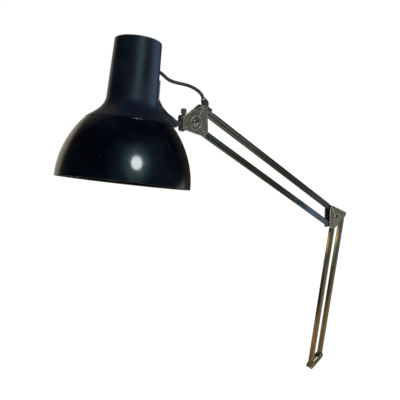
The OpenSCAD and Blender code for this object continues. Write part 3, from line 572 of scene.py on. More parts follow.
# pale and only partly metallic: the clip's own bright steel with a painted glint
clipSteelAndGlint = steelMaterial(
    "clipSteelAndGlint",
    {**plainSteel, "metallic": 0.3,
     "dark": (0.42, 0.48, 0.52), "middle": (0.56, 0.62, 0.66), "light": (0.7, 0.75, 0.78),
     "cloud": 300, "roughness": (0.25, 0.4), "bump": 0.04},
)
springSteel = steelMaterial(
    "springSteel",
    {**plainSteel, "dark": (0.2, 0.2, 0.2), "middle": (0.34, 0.34, 0.33), "light": (0.46, 0.46, 0.45),
     "cloud": 300, "roughness": (0.3, 0.45), "bump": 0.1},
)
brassMetal = steelMaterial(
    "brassMetal",
    {**plainSteel, "dark": (0.34, 0.24, 0.09), "middle": (0.5, 0.36, 0.14), "light": (0.62, 0.46, 0.2),
     "cloud": 260, "roughness": (0.26, 0.42), "bump": 0.08},
)
capMetal = steelMaterial(
    "capAluminium",
    {**plainSteel, "dark": (0.44, 0.42, 0.38), "middle": (0.6, 0.58, 0.52), "light": (0.7, 0.68, 0.62),
     "cloud": 240, "roughness": (0.3, 0.46), "bump": 0.08},
)

fibreLook = {
    "dark": (0.09, 0.04, 0.02), "light": (0.24, 0.13, 0.07), "stretch": (1, 0.25, 1),
    "roughness": 0.7, "bump": 0.2,
}
fibreRed, tree, surface = startMaterial("vulcanFibre")
grain = noise(objectSpace(tree, stretch=fibreLook["stretch"]), 600, 4)
fill(surface, {
    "Base Color": blendColour(grain, fibreLook["dark"], fibreLook["light"]),
    "Roughness": fibreLook["roughness"],
})
roughen(surface, grain, fibreLook["bump"])


# Bars of aged bright steel with painted reflections: the colour that runs along each bar, and the browner
# colour on its edge faces, are painted reflections


# Painted reflection: the base colour of a steel that shows as this screen colour over the pale floor
def paintedReflectionColour(red, green, blue, gamma=2.2, floorLight=0.8):
    return tuple(min(1.0, (value / 255) ** gamma / floorLight) for value in (red, green, blue))


upperRun = {"turn": (0, upperAngle, 0), "length": 0.434, "roughness": (0.24, 0.38)}
lowerRun = {"turn": (0, -lowerAngle, 0), "length": 0.345, "roughness": (0.2, 0.34)}
# side and edge ramps: painted reflections along each bar, the edge ramp on the faces towards the shade's side
barReflectionLooks = {
    "topBarSteel": {
        # from the head, at 0, to the elbow, at 1
        "side": [(0.0, 114, 121, 113), (0.1, 89, 92, 86), (0.3, 79, 80, 77), (0.4, 57, 56, 50),
                 (0.55, 37, 39, 35), (0.72, 30, 31, 32), (0.85, 30, 40, 51), (1.0, 38, 42, 44)],
        "edge": [(0.0, 84, 70, 56), (0.3, 92, 62, 42), (0.6, 66, 48, 36), (0.85, 54, 50, 50),
                 (1.0, 58, 62, 70)],
        **upperRun,
    },
    "lowBarSteel": {
        "side": [(0.0, 71, 80, 82), (0.1, 62, 68, 63), (0.25, 52, 50, 49), (0.4, 42, 39, 33),
                 (0.5, 29, 25, 23), (0.62, 34, 35, 36), (0.72, 42, 54, 65), (0.8, 74, 94, 118),
                 (0.9, 60, 74, 92), (1.0, 60, 61, 62)],
        "edge": [(0.0, 92, 72, 56), (0.25, 98, 66, 48), (0.5, 66, 50, 38), (0.8, 54, 52, 52),
                 (1.0, 66, 70, 76)],
        **upperRun,
    },
    "frontBarSteel": {
        # from the foot, at 0, to the elbow, at 1
        "side": [(0.0, 106, 92, 46), (0.15, 91, 78, 41), (0.35, 84, 73, 44), (0.6, 82, 77, 54),
                 (0.72, 74, 72, 50), (0.8, 62, 58, 48), (0.88, 67, 67, 67), (0.95, 63, 71, 70),
                 (1.0, 58, 60, 60)],
        "edge": [(0.0, 92, 64, 34), (0.1, 102, 74, 42), (0.2, 132, 92, 58), (0.32, 124, 90, 54),
                 (0.38, 66, 44, 22), (0.5, 38, 25, 13), (0.63, 52, 40, 26), (0.76, 80, 78, 52),
                 (0.81, 120, 106, 60), (0.86, 208, 168, 84), (0.91, 212, 160, 104), (0.95, 165, 118, 92),
                 (1.0, 110, 106, 90)],
        **lowerRun,
    },
    "rearBarSteel": {
        "side": [(0.0, 76, 62, 36), (0.2, 80, 67, 36), (0.4, 84, 74, 42), (0.6, 76, 75, 50),
                 (0.72, 60, 60, 46), (0.8, 62, 66, 66), (0.88, 70, 74, 80), (1.0, 62, 72, 76)],
        "edge": [(0.0, 100, 84, 56), (0.1, 104, 76, 48), (0.22, 122, 90, 60), (0.32, 104, 74, 48),
                 (0.42, 72, 56, 38), (0.55, 60, 50, 34), (0.65, 76, 72, 50), (0.73, 112, 114, 86),
                 (0.8, 172, 156, 94), (0.86, 226, 200, 136), (0.91, 150, 136, 98), (0.95, 92, 88, 70),
                 (1.0, 80, 76, 66)],
        **lowerRun,
    },
}
barFilm = {
    "metallic": 0.85, "drawn": (0.025, 0.02, 0.014), "drawnShare": 0.3, "drawnOut": 40,
    "cloud": (0.03, 0.024, 0.016), "cloudShare": 0.4, "wobble": 0.08, "bump": 0.03,
}


def barMaterial(name, look):
    material, tree, surface = startMaterial(name)
    spots = objectSpace(tree)
    run = calc("DIVIDE", marked(tree, "alongBar"), look["length"])
    wobble = times(calc("SUBTRACT", noise(spots, 50, 3), 0.5), barFilm["wobble"])
    run = calc("ADD", run, wobble)
    # painted reflections: the side ramp on most faces, the edge ramp on the faces towards the shade's side
    side, edge = (
        colourRamp(run, [(place, paintedReflectionColour(*shade)) for place, *shade in look[face]])
        for face in ("side", "edge")
    )
    colour = blendColour(marked(tree, "paintedReflectionFace"), side, edge)
    drawnSpace = objectSpace(tree, turn=look["turn"], stretch=(barFilm["drawnOut"], 1, 1))
    drawn = noise(drawnSpace, 900, 3)
    colour = blendColour(span(drawn, 0.55, 0.75, 0, barFilm["drawnShare"]), colour, barFilm["drawn"])
    cloud = noise(spots, 90, 4, 0.6)
    colour = blendColour(span(cloud, 0.52, 0.8, 0, barFilm["cloudShare"]), colour, barFilm["cloud"])
    fill(surface, {
        "Base Color": colour, "Metallic": barFilm["metallic"],
        "Roughness": cloudy(cloud, look["roughness"]),
    })
    roughen(surface, drawn, barFilm["bump"])
    return material


barSteels = {name: barMaterial(name, look) for name, look in barReflectionLooks.items()}

glassLook = {"milk": (0.9, 0.89, 0.84), "roughness": (0.3, 0.45), "transmission": 0.35, "ior": 1.45}
bulbMilk, tree, surface = startMaterial("frostedGlass")
fill(surface, {
    "Base Color": glassLook["milk"], "IOR": glassLook["ior"],
    "Transmission Weight": glassLook["transmission"],
    "Roughness": cloudy(noise(objectSpace(tree), 240), glassLook["roughness"]),
})
print("materials made")


# Free lead: three runs of one smooth line, one run spanning each joint

leadLook = {"diameter": 0.005, "spacing": 0.0016, "rings": 7}
leadRoutes = {
    "leadByNeck": [(-0.3947, 0.0187, 0.7038), (-0.39, 0.0185, 0.702), (-0.3854, 0.0183, 0.6993),
                   (-0.3806, 0.0178, 0.6952), (-0.375, 0.0166, 0.69), (-0.368, 0.0145, 0.686)],
    "leadMiddle": [(-0.368, 0.0145, 0.686), (-0.359, 0.0119, 0.6829), (-0.3505, 0.009, 0.6803),
                   (-0.3436, 0.0065, 0.6778), (-0.3376, 0.0042, 0.6746)],
    "leadByBoot": [(-0.3376, 0.0042, 0.6746), (-0.3322, 0.0022, 0.6709), (-0.3274, 0.0007, 0.6665),
                   (-0.3239, 0, 0.6618), (-0.3215, 0, 0.6564), (-0.3191, 0, 0.6509)],
}
leadJoints = {
    "leadByNeck": ("shade", "swivel_block", "lead_by_neck"),
    "leadMiddle": ("swivel_block", "head", "lead_middle"),
    "leadByBoot": ("head", "upper_top_arm", "lead_by_boot"),
}


def smoothLine(points, spacing):
    line = [Vector(p) for p in points]
    padded = [2 * line[0] - line[1], *line, 2 * line[-1] - line[-2]]
    fine = []
    for p0, p1, p2, p3 in zip(padded, padded[1:], padded[2:], padded[3:]):
        pieces = max(2, round((p2 - p1).length / spacing))
        for i in range(pieces):
            t = i / pieces
            fine.append(0.5 * (2 * p1 + (p2 - p0) * t + (2 * p0 - 5 * p1 + 4 * p2 - p3) * t * t
                               + (3 * p1 - p0 - 3 * p2 + p3) * t * t * t))
    fine.append(line[-1])
    return fine


wholeRoute = [*leadRoutes["leadByNeck"], *leadRoutes["leadMiddle"][1:], *leadRoutes["leadByBoot"][1:]]
wholeLine = smoothLine(wholeRoute, leadLook["spacing"])
for name, route in leadRoutes.items():
    first, last = (
        min(range(len(wholeLine)), key=lambda i: (wholeLine[i] - Vector(end)).length)
        for end in (route[0], route[-1])
    )
    path = wholeLine[first:last + 1]
    curve = bpy.data.curves.new(name, "CURVE")
    curve.dimensions = "3D"
    curve.bevel_depth = leadLook["diameter"] / 2
    curve.bevel_resolution = leadLook["rings"]
    curve.use_fill_caps = True
    line = curve.splines.new("POLY")
    line.points.add(len(path) - 1)
    for spot, place in zip(line.points, path):
        spot.co = (*place, 1)
    lead = bpy.data.objects.new(name, curve)
    bpy.context.collection.objects.link(lead)
    takeUp(lead)
    bpy.ops.object.convert(target="MESH")
    lead = nameIt(name)
    tidyMesh(lead, weldGaps["cord"])
    smoothShade(lead, 60)
    finishPiece(lead, leadBlack)
    bodyA, bodyB, node = leadJoints[name]
    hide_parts(node)
    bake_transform(lead)


# Dome: spun sheet with a hemmed rim and a raised lip where the neck sits

domeShape = {
    "rim": 94.3, "height": 84.2, "seam": 62.2, "wall": 1.2, "hole": 39.8, "topWall": 1.6,
    "lip": 0.9, "hem": 1.1, "sides": 144, "enamel": (0.0065, 0.0835), "bulge": (0.43, 0.827, 0.784),
}
d = SimpleNamespace(**domeShape)


def bezierLine(a, b, c, e, steps):
    line = []
    for i in range(steps + 1):
        t = i / steps
        line.append(tuple(
            p * (1 - t) ** 3 + 3 * q * t * (1 - t) ** 2 + 3 * r * t * t * (1 - t) + s * t**3
            for p, q, r, s in zip(a, b, c, e)
        ))
    return line


def domeLine(inset, drop, steps):
    rise, out, up = d.bulge
    return bezierLine((d.rim - inset, 0), (d.rim - inset, rise * d.height),
                      (out * d.rim - inset, up * d.height), (d.seam - inset, d.height - drop), steps)


def arc(x, z, radius, start, end, steps):
    turns = [math.radians(start + (end - start) * i / steps) for i in range(steps + 1)]
    return [(x + radius * math.cos(turn), z + radius * math.sin(turn)) for turn in turns]


outline = [(d.rim - 0.35, 0.0), (d.rim - 0.08, 0.15)]
outline += domeLine(0, 0, 40)[1:-2]
outline += arc(d.seam - 0.5, d.height - d.lip, d.lip, -5, 95, 8)
outline += [(d.seam - 2.2, d.height - 0.1), (d.hole, d.height - 0.1), (d.hole, d.height - d.topWall)]
outline += domeLine(d.wall, d.topWall, 30)[::-1][:-2]
outline += [(d.rim - d.wall, 2.6)]
outline += arc(d.rim - d.wall - 0.2, d.hem + 0.1, d.hem, 100, 265, 7)
dome = turned("domeShell", outline, d.sides)
rememberPlace(dome)
dome.data.materials.append(domePaint)
dome.data.materials.append(enamel)
for face in dome.data.polygons:
    c = face.center
    # the black paint wraps round the hem
    inwards = face.normal.x * c.x + face.normal.y * c.y < 0 and d.enamel[0] < c.z < d.enamel[1]
    under = face.normal.z < -0.3 and d.enamel[0] < c.z
    face.material_index = 1 if inwards or under else 0
setPiece(dome, shadeFrame, 40, domePaint, "shade", "shade_dome")
print("dome turned")


# Neck: flare, straight tube, rounded shoulder, vents and the lead's hole

neckShape = {
    "foot": 84.4, "flareTop": 116.3, "baseRadius": 35.8, "topRadius": 33.2, "top": 199.1,
    "shoulder": 2.0, "wall": 1.8, "bore": 5.05, "sides": 128,
    "vents": 8, "ventAt": 19.2, "ventSize": (14.4, 2.6, 12), "ventCorner": 1.25,
    "leadHoleAt": 165, "leadHoleRadius": 4.3, "leadHoleMiddle": 36, "leadHoleDepth": 30,
    "flare": (0.87, 0.24, 1.05, 0.46),
}
n = SimpleNamespace(**neckShape)


def flareLine(inset, steps):
    rise = n.flareTop - d.height
    lowOut, lowUp, highOut, highUp = n.flare
    return bezierLine((d.seam - inset, n.foot), (lowOut * d.seam - inset, n.foot + lowUp * rise),
                      (highOut * n.baseRadius - inset, n.foot + highUp * rise),
                      (n.baseRadius - inset, n.flareTop), steps)


innerTop = n.top - n.wall
tubeTop = n.top - n.shoulder
outline = [(d.seam - 0.5, n.foot), (d.seam - 0.1, n.foot + 0.12)]
outline += flareLine(0, 26)[1:]
outline += [(n.baseRadius + (n.topRadius - n.baseRadius) * t, n.flareTop + (tubeTop - n.flareTop) * t)
            for t in (0.25, 0.5, 0.75)]
outline += arc(n.topRadius - n.shoulder, tubeTop, n.shoulder, 0, 90, 9)
outline += [(27.4, n.top), (27.0, n.top - 0.25), (11.4, n.top - 0.25), (11.0, n.top), (n.bore, n.top)]
inside = n.topRadius - n.wall
outline += [(n.bore, innerTop), (inside - 1.4, innerTop), (inside, innerTop - 1.4)]
outline += flareLine(n.wall, 18)[::-1]
neck = turned("neckShell", outline, n.sides)
for i in range(n.vents):
    cutter = boxCutter("ventCutter", (n.ventAt * mm, 0, n.top * mm), [side * mm for side in n.ventSize])
    roundEdges(cutter, n.ventCorner, 4, 60)
    settle(cutter, Matrix.Rotation(math.tau * i / n.vents, 4, "Z"))
    carve(neck, cutter)
deselectAll()
bpy.ops.mesh.primitive_cylinder_add(
    vertices=40, radius=n.leadHoleRadius * mm, depth=n.leadHoleDepth * mm,
    location=(n.leadHoleMiddle * mm, 0, n.leadHoleAt * mm), rotation=(0, math.pi / 2, 0))
carve(neck, nameIt("leadHoleCutter"))
rememberPlace(neck)
setPiece(neck, shadeFrame, 32, neckPaint, "shade", "shade_neck")
print("neck turned")


# Softened copies of pressed, cast and moulded nodes

softWearAndShade = 2.0
# the plates and links come in pairs
pressedPieces = (
    ("headPlate", "head_plate", "head", plateSteel, 0.32),
    ("elbowPlate", "elbow_plate", "elbow", elbowSteel, 0.32),
    ("footLink", "foot_link", "foot", footSteel, 0.3),
)
softPieces = {
    name + side: {"node": node + "_" + side.lower(), "body": body, "material": steel,
                  "voxel": voxel, "rounds": 2, "slot": "plate"}
    for name, node, body, steel, voxel in pressedPieces for side in ("Near", "Far")
}
softPieces.update({
    "bracketCasting": {"node": "shade_bracket", "body": "shade", "material": bracketBlack,
                       "voxel": 0.5, "rounds": 8, "slot": "black_plastic"},
    "tiltBlock": {"node": "tilt_block", "body": "swivel_block", "material": bracketBlack,
                  "voxel": 0.35, "rounds": 6, "slot": "black_plastic"},
    "leadBoot": {"node": "lead_boot", "body": "upper_top_arm", "material": bootBlack,
                 "voxel": 0.25, "rounds": 5, "slot": "black_plastic"},
})
# depths in mm below the mouth: broadening starts, is full, ends
towerShape = {
    "mouth": (-0.321512, 0, 0.656415), "way": (-0.408, 0, 0.913), "broader": 0.75,
    "starts": -1, "full": 8, "fades": 11, "ends": 15,
}


# The boot's tower is broad along the bar and slim between the plates
def broadenTower(piece):
    tower = SimpleNamespace(**towerShape)
    mouth, way = Vector(tower.mouth), Vector(tower.way)
    across = Vector((way.z, 0, -way.x))
    for spot in piece.data.vertices:
        out = spot.co - mouth
        depth = -out.dot(way) / mm
        share = min(max((depth - tower.starts) / (tower.full - tower.starts), 0), 1)
        share *= min(max((tower.ends - depth) / (tower.ends - tower.fades), 0), 1)
        spot.co += across * out.dot(across) * share * tower.broader


for name, look in softPieces.items():
    piece = copyNode(look["node"], name)
    useModifier(piece, "REMESH", mode="VOXEL", voxel_size=look["voxel"] * mm)
    useModifier(piece, "SMOOTH", factor=0.5, iterations=look["rounds"])
    if name == "leadBoot":
        broadenTower(piece)
    takeUp(piece)
    bpy.ops.object.shade_smooth()
    markWearAndShade(piece, softWearAndShade)
    finishPiece(piece, look["material"], look["body"], [look["node"]])
    print("softened", name, len(piece.data.polygons))


# Bars: merged copies with rounded ends, marked along their length

barEdge = {"width": 0.12, "segments": 2, "angle": 50}
upperBar = {"angle": -upperAngle, "slot": "upper_bar"}
lowerBar = {"angle": lowerAngle, "slot": "lower_bar"}
bars = {
    "upperTopBar": {"node": "upper_top_bar", "start": "headTop", "body": "upper_top_arm",
                    "steel": "topBarSteel", **upperBar},
    "upperLowBar": {"node": "upper_low_bar", "start": "headLow", "body": "upper_low_arm",
                    "steel": "lowBarSteel", **upperBar},
    "lowerFrontBar": {"node": "lower_front_bar", "start": "footFront", "body": "lower_front_arm",
                      "steel": "frontBarSteel", **lowerBar},
    "lowerRearBar": {"node": "lower_rear_bar", "start": "footRear", "body": "lower_rear_arm",
                     "steel": "rearBarSteel", **lowerBar},
}
for name, look in bars.items():
    bar = copyNode(look["node"], name)
    roundEdges(bar, **barEdge)
    smoothShade(bar, 40)
    angle = math.radians(look["angle"])
    along = Vector((math.cos(angle), 0, math.sin(angle)))
    across = Vector((-along.z, 0, along.x)) * (1 if along.z > 0 else -1)
    startX, startZ = pivots[look["start"]]
    start = Vector((startX, 0, startZ))
    mark = bar.data.attributes.new("alongBar", "FLOAT", "POINT")
    mark.data.foreach_set("value", [(spot.co - start).dot(along) for spot in bar.data.vertices])
    # faces across the bar on the shade's side, which get the browner painted reflection
    mark = bar.data.attributes.new("paintedReflectionFace", "FLOAT", "FACE")
    mark.data.foreach_set("value", [float(face.normal.dot(across) > 0.6) for face in bar.data.polygons])
    finishPiece(bar, barSteels[look["steel"]], look["body"], [look["node"]])
print("bars copied")


# Hollow pivot rivets: one turned rivet, copied to every pivot

rivetShape = {"shank": 2.0, "head": 3.2, "height": 1.45, "bore": 1.05, "sides": 40}


def rivetLine(half, shape):
    r = SimpleNamespace(**shape)
    top = [(r.shank, half), (r.head - 0.15, half), (r.head, half + 0.25), (r.head - 0.06, half + 0.62),
           (r.head - 0.5, half + 0.8 * r.height), (r.head - 1.1, half + r.height),
           (r.bore + 0.55, half + 0.92 * r.height), (r.bore + 0.18, half + 0.55 * r.height),
           (r.bore, half - 0.2), (r.bore - 0.1, half - 0.9), (onAxis, half - 1.0)]
    return [(x, -z) for x, z in top[::-1]] + top


def rivetSet(name, spots, half, shape, body, node):
    first = turned(name, rivetLine(half, shape), shape["sides"], closed=False)
    parts = [first]
    while len(parts) < len(spots):
        copy = first.copy()
        copy.data = first.data.copy()
        bpy.context.collection.objects.link(copy)
        parts.append(copy)
    for part, spot in zip(parts, spots):
        settle(part, acrossLamp(*pivots[spot]))
    whole = joined(parts, name) if len(parts) > 1 else first
    setPiece(whole, None, 60, rivetSteel, body, node, wearAndShade=0.6)


plateHalf = 5.7  # from the lamp's middle to a plate's outer face
linkHalf = 6.1
tiltShape = {"shank": 2.0, "head": 2.4, "height": 0.95, "bore": 0.9, "sides": 36}
elbowPivots = ["elbowLow", "elbowFront", "elbowRear", "elbowTop"]
rivetSet("elbowRivets", elbowPivots, plateHalf, rivetShape, "elbow", "elbow_rivets")
rivetSet("headRivets", ["headLow", "headTop"], plateHalf, rivetShape, "head", "head_rivets")
rivetSet("footRivet", ["footRear"], linkHalf, rivetShape, "foot", "foot_rivet")
rivetSet("tiltRivet", ["tilt"], plateHalf, tiltShape, "head", "tilt_rivet")

# Hollow foot pivot with rolled flanges
pivotShape = {"bore": 2.1, "tube": 2.9, "flange": 4.2, "height": 0.8, "sides": 48}
p = SimpleNamespace(**pivotShape)
end = linkHalf + p.height
outline = [(p.tube, 0), (p.tube, linkHalf), (p.flange - 0.1, linkHalf), (p.flange, linkHalf + 0.2),
           (p.flange - 0.15, end - 0.3), (p.flange - 0.6, end), (p.bore + 0.5, end),
           (p.bore + 0.1, end - 0.2), (p.bore, end - 0.6)]
outline += [(r, -z) for r, z in outline[::-1][:-1]]
footPivot = turned("footPivot", outline, p.sides)
setPiece(footPivot, acrossLamp(*pivots["footFront"]), 40, rivetSteel, "foot", "foot_bush", wearAndShade=0.6)
print("rivets set")


# Clamp bolts: a domed head with a turned edge and a shank, and a hexagon nut behind

boltShape = {"head": 6.6, "height": 2.4, "shank": 2.0, "tip": 9.5, "sides": 56}
nutShape = {"acrossFlats": 8, "height": 3.0, "bore": 2.05, "corner": 0.45}
clamps = (("headBolt", "headNut", "headRing", "head"), ("elbowBolt", "elbowNut", "elbowRing", "elbow"))
b = SimpleNamespace(**boltShape)
crown = b.height - 0.45
outline = [(onAxis, plateHalf + b.height)]
outline += [(b.head * 0.9 * math.sin(math.radians(a)), plateHalf + 0.45 + crown * math.cos(math.radians(a)))
            for a in range(15, 91, 15)]
outline += [(b.head - 0.35, plateHalf + 0.5), (b.head, plateHalf + 0.3), (b.head, plateHalf),
            (b.shank, plateHalf), (b.shank, -b.tip + 0.5), (b.shank - 0.5, -b.tip), (onAxis, -b.tip)]
for bolt, nut, spot, body in clamps:
    piece = turned(bolt, outline, b.sides, closed=False)
    setPiece(piece, acrossLamp(*pivots[spot]), 40, boltSteel, body, body + "_bolt", wearAndShade=0.6)


def hexagonNut(name, shape):
    high = shape["height"] * mm
    radius = shape["acrossFlats"] / 2 / math.cos(math.pi / 6) * mm
    deselectAll()
    bpy.ops.mesh.primitive_cylinder_add(vertices=6, radius=radius, depth=high, location=(0, 0, high / 2))
    nut = nameIt(name)
    settle(nut)
    roundEdges(nut, shape["corner"], 3, 40)
    bpy.ops.mesh.primitive_cylinder_add(vertices=32, radius=shape["bore"] * mm, depth=high * 3)
    carve(nut, nameIt("nutCutter"))
    return nut


for bolt, nut, spot, body in clamps:
    x, z = pivots[spot]
    behind = Matrix.Translation((x, plateHalf * mm, z)) @ turning(-90, "X")
    setPiece(hexagonNut(nut, nutShape), behind, 30, brightSteel, body, body + "_nut")
print("bolts and nuts made")


# Knob: fluted, with a domed top, on its screw over the tilt block

knobShape = {
    "radius": 4.25, "base": 638.734, "height": 8.2, "corner": 1.6, "sides": 56,
    "flutes": 14, "fluteRadius": 0.55, "fluteOut": 0.2, "fluteLength": 5.4, "fluteAt": 3.6,
}
k = SimpleNamespace(**knobShape)
outline = [(onAxis, 0), (k.radius - 1.4, 0), (k.radius - 1.4, 0.8), (k.radius - 0.25, 0.9), (k.radius, 1.2),
           (k.radius, k.height - k.corner)]
outline += arc(k.radius - k.corner, k.height - k.corner, k.corner, 15, 80, 5)
outline += [(k.radius - 2.2, k.height - 0.12), (1.2, k.height - 0.35), (onAxis, k.height - 0.4)]
knob = turned("clampKnob", outline, k.sides, closed=False)
ring = (k.radius + k.fluteOut) * mm
for i in range(k.flutes):
    turn = math.tau * i / k.flutes
    deselectAll()
    bpy.ops.mesh.primitive_cylinder_add(
        vertices=12, radius=k.fluteRadius * mm, depth=k.fluteLength * mm,
        location=(ring * math.cos(turn), ring * math.sin(turn), k.fluteAt * mm))
    carve(knob, nameIt("fluteCutter"))
overBlock = Matrix.Translation((pivots["tilt"][0], 0, k.base * mm))
setPiece(knob, overBlock, 35, knobBlack, "knob", "clamp_knob", wearAndShade=0.5)
print("knob made")


# Slotted screws: two in the bracket's saddle, three under the dome

screwShape = {
    "head": 2.8, "height": 1.7, "shank": 1.5, "length": 5.9, "slot": 0.7, "slotDepth": 0.8, "sides": 36,
}
domeScrewShape = {**screwShape, "head": 2.9, "height": 1.8, "length": 7.0, "slot": 0.8}
saddle = {"proud": 2.6, "screws": ((131, 25), (143, 70))}  # height on the neck, slot's turn
screwRing = {"radius": 51.4, "height": 82.6, "turns": (60, 180, 300)}


def slottedScrew(name, shape):
    s = SimpleNamespace(**shape)
    outline = [(onAxis, s.height), (s.head * 0.45, s.height * 0.96), (s.head * 0.75, s.height * 0.75),
               (s.head * 0.94, s.height * 0.42), (s.head, 0.25), (s.head - 0.1, 0), (s.shank, 0),
               (s.shank, -s.length + 0.5), (s.shank - 0.4, -s.length), (onAxis, -s.length)]
    screw = turned(name, outline, s.sides, closed=False)
    carve(screw, boxCutter("slotCutter", (0, 0, s.height * mm), (s.slot * mm, 0.02, 2 * s.slotDepth * mm)))
    return screw


screws = []
for height, turn in saddle["screws"]:
    screw = slottedScrew("bracketScrews", screwShape)
    radius = n.baseRadius - (height - n.flareTop) * (n.baseRadius - n.topRadius) / (n.top - n.flareTop)
    radius += saddle["proud"]
    settle(screw, Matrix.Translation((radius * mm, 0, height * mm)) @ turning(90, "Y") @ turning(turn, "Z"))
    screws.append(screw)
setPiece(joined(screws, "bracketScrews"), shadeFrame, 35, brightSteel, "shade", "bracket_screws")
screws = []
for turn in screwRing["turns"]:
    screw = slottedScrew("domeScrews", domeScrewShape)
    ringPlace = Matrix.Translation((screwRing["radius"] * mm, 0, screwRing["height"] * mm))
    settle(screw, turning(turn, "Z") @ ringPlace @ turning(180, "X"))
    screws.append(screw)
setPiece(joined(screws, "domeScrews"), shadeFrame, 35, brightSteel, "shade", "dome_screws")
print("screws made")


# Boot's clip, grommet and the neck's top nut

clipShape = {"inner": 2.55, "outer": 3.4, "height": 0.9, "sides": 40}
c = SimpleNamespace(**clipShape)
outline = [(c.inner, 0.2), (c.inner + 0.15, 0), (c.outer - 0.2, 0), (c.outer, 0.2), (c.outer, c.height - 0.3),
           (c.outer - 0.25, c.height), (c.inner + 0.2, c.height), (c.inner, c.height - 0.2)]
towerTurn = Vector(towerShape["way"]).to_track_quat("Z", "Y").to_matrix().to_4x4()
setPiece(turned("bootClip", outline, c.sides), Matrix.Translation(towerShape["mouth"]) @ towerTurn, 50,
         clipSteelAndGlint, "upper_top_arm", "boot_clip")

grommetShape = {"bore": 2.55, "body": 4.2, "flange": 5.3, "wallIn": 32.47, "out": 35.47, "sides": 44}
g = SimpleNamespace(**grommetShape)
low, high = g.wallIn, g.out
outline = [(g.bore, low - 1.6), (g.bore + 0.4, low - 2.2), (g.flange - 0.5, low - 2.2), (g.flange, low - 1.8),
           (g.flange, low - 1.2), (g.flange - 0.4, low - 0.8), (g.body, low - 0.7), (g.body, high - 0.8),
           (g.flange - 0.3, high - 0.8), (g.flange, high - 0.5), (g.flange, high + 0.2)]
outline += arc(g.flange - 0.9, high - 0.1, 0.9, 20, 90, 4)
outline += [(g.bore + 0.5, high + 0.75), (g.bore, high + 0.3)]
inHole = shadeFrame @ Matrix.Translation((0, 0, n.leadHoleAt * mm)) @ turning(90, "Y")
grommet = turned("leadGrommet", outline, g.sides)
setPiece(grommet, inHole, 50, bootBlack, "shade", "lead_grommet")

topNutShape = {"acrossFlats": 14.55, "height": 2.4, "bore": n.bore, "corner": nutShape["corner"]}
onNeck = shadeFrame @ Matrix.Translation((0, 0, n.top * mm))
setPiece(hexagonNut("holderNut", topNutShape), onNeck, 30, brightSteel, "shade", "holder_nut")
print("clip, grommet and top nut made")


# Lampholder, bulb cap and bulb, inside the shade

holderShape = {
    "low": 139.3, "radius": 19.5, "height": 52, "bore": 14.5, "depth": 30, "stem": n.bore,
    "grooves": (0, 2.4), "sides": 64,
}
h = SimpleNamespace(**holderShape)
z = h.low
groove = [(h.radius - 0.7, 22.5), (h.radius - 0.7, 23.4), (h.radius, 23.9)]
outline = [(h.bore, z + 0.8), (h.bore + 0.8, z), (h.radius - 1.2, z), (h.radius, z + 1.2), (h.radius, z + 4),
           (h.radius - 0.8, z + 4.6), (h.radius - 0.8, z + 6), (h.radius, z + 6.6), (h.radius, z + 22)]
outline += [(r, z + up + step) for step in h.grooves for r, up in groove]
outline += [(h.radius - 0.6, z + 27.6), (h.radius - 2.5, z + 30), (h.radius - 2.5, z + 43),
            (h.radius - 3.2, z + 45), (h.radius - 7.6, z + 51.3), (h.radius - 8.8, z + h.height),
            (h.stem, z + h.height), (h.stem, z + 43.6), (onAxis, z + 43.6), (onAxis, z + h.depth),
            (h.bore, z + h.depth)]
holder = turned("lampHolder", outline, h.sides)
setPiece(holder, shadeFrame, 40, holderBrown, "shade", "lamp_holder")

capShape = {"low": 142.9, "radius": 13.1, "height": 25, "threads": 5, "pitch": 3.6, "sides": 56}
c = SimpleNamespace(**capShape)
z = c.low
outline = [(onAxis, z), (c.radius - 0.3, z), (c.radius, z + 0.4), (c.radius, z + 2)]
for i in range(c.threads):
    outline += [(c.radius - inset, z + up + c.pitch * i)
                for inset, up in ((0.85, 2.8), (0.85, 3.3), (0.05, 4.3), (0.05, 4.8))]
outline += [(c.radius - 0.6, z + 20.4), (c.radius - 3, z + 22.5), (4.5, z + 23.8), (4.3, z + 24.8),
            (onAxis, z + c.height)]
cap = turned("bulbCap", outline, c.sides, closed=False)
setPiece(cap, shadeFrame, 50, capMetal, "shade", "bulb_cap")

bulbShape = {
    "low": 64.9, "globe": 29, "height": 78, "neck": 12.8, "wall": 0.8, "sides": 72,
    "waist": (-7, 12), "neckFrom": 0.74,
}
b = SimpleNamespace(**bulbShape)
mid, top = b.low + b.globe, b.low + b.height
skin = [(b.globe * math.sin(math.radians(a)), mid - b.globe * math.cos(math.radians(a)))
        for a in range(5, 111, 5)]
hip = skin[-1]
waist = (hip[0] + b.waist[0], hip[1] + b.waist[1])
skin += bezierLine(hip, waist, (b.neck, b.low + b.neckFrom * b.height), (b.neck, top), 10)[1:]
inner = [(max(r - b.wall, 0.4), min(z + (b.wall if z < mid else 0), top)) for r, z in skin[::-1]]
outline = [(onAxis, b.low), *skin, *inner, (onAxis, b.low + b.wall)]
bulb = turned("bulbGlass", outline, b.sides, closed=False)
setPiece(bulb, shadeFrame, 60, bulbMilk, "shade", "bulb_glass")
print("lampholder and bulb made")


# Small CAD nodes stay, with a finish each

keptNodes = (
    (fibreRed, ["foot_washers", "elbow_washers", "head_washers"]),
    (springSteel, ["lower_spring", "upper_spring", "lower_spring_anchor", "upper_spring_anchor",
                   "elbow_spring_post", "head_spring_post", "spigot_clip"]),
    (brightSteel, ["elbow_spacer", "head_spacer", "clamp_screw", "bracket_spigot"]),
    (leadBlack, ["lower_cores", "upper_cores", "elbow_cores", "neck_lead"]),
    (brassMetal, ["clamp_pad", "holder_contacts", "holder_stem"]),
)
for material, nodes in keptNodes:
    for node in nodes:
        mesh = frame["nodes"][node].data
        mesh.materials.clear()
        mesh.materials.append(material)
print("kept nodes finished")


# Studio: pale floor, soft light, dim room for the reflections


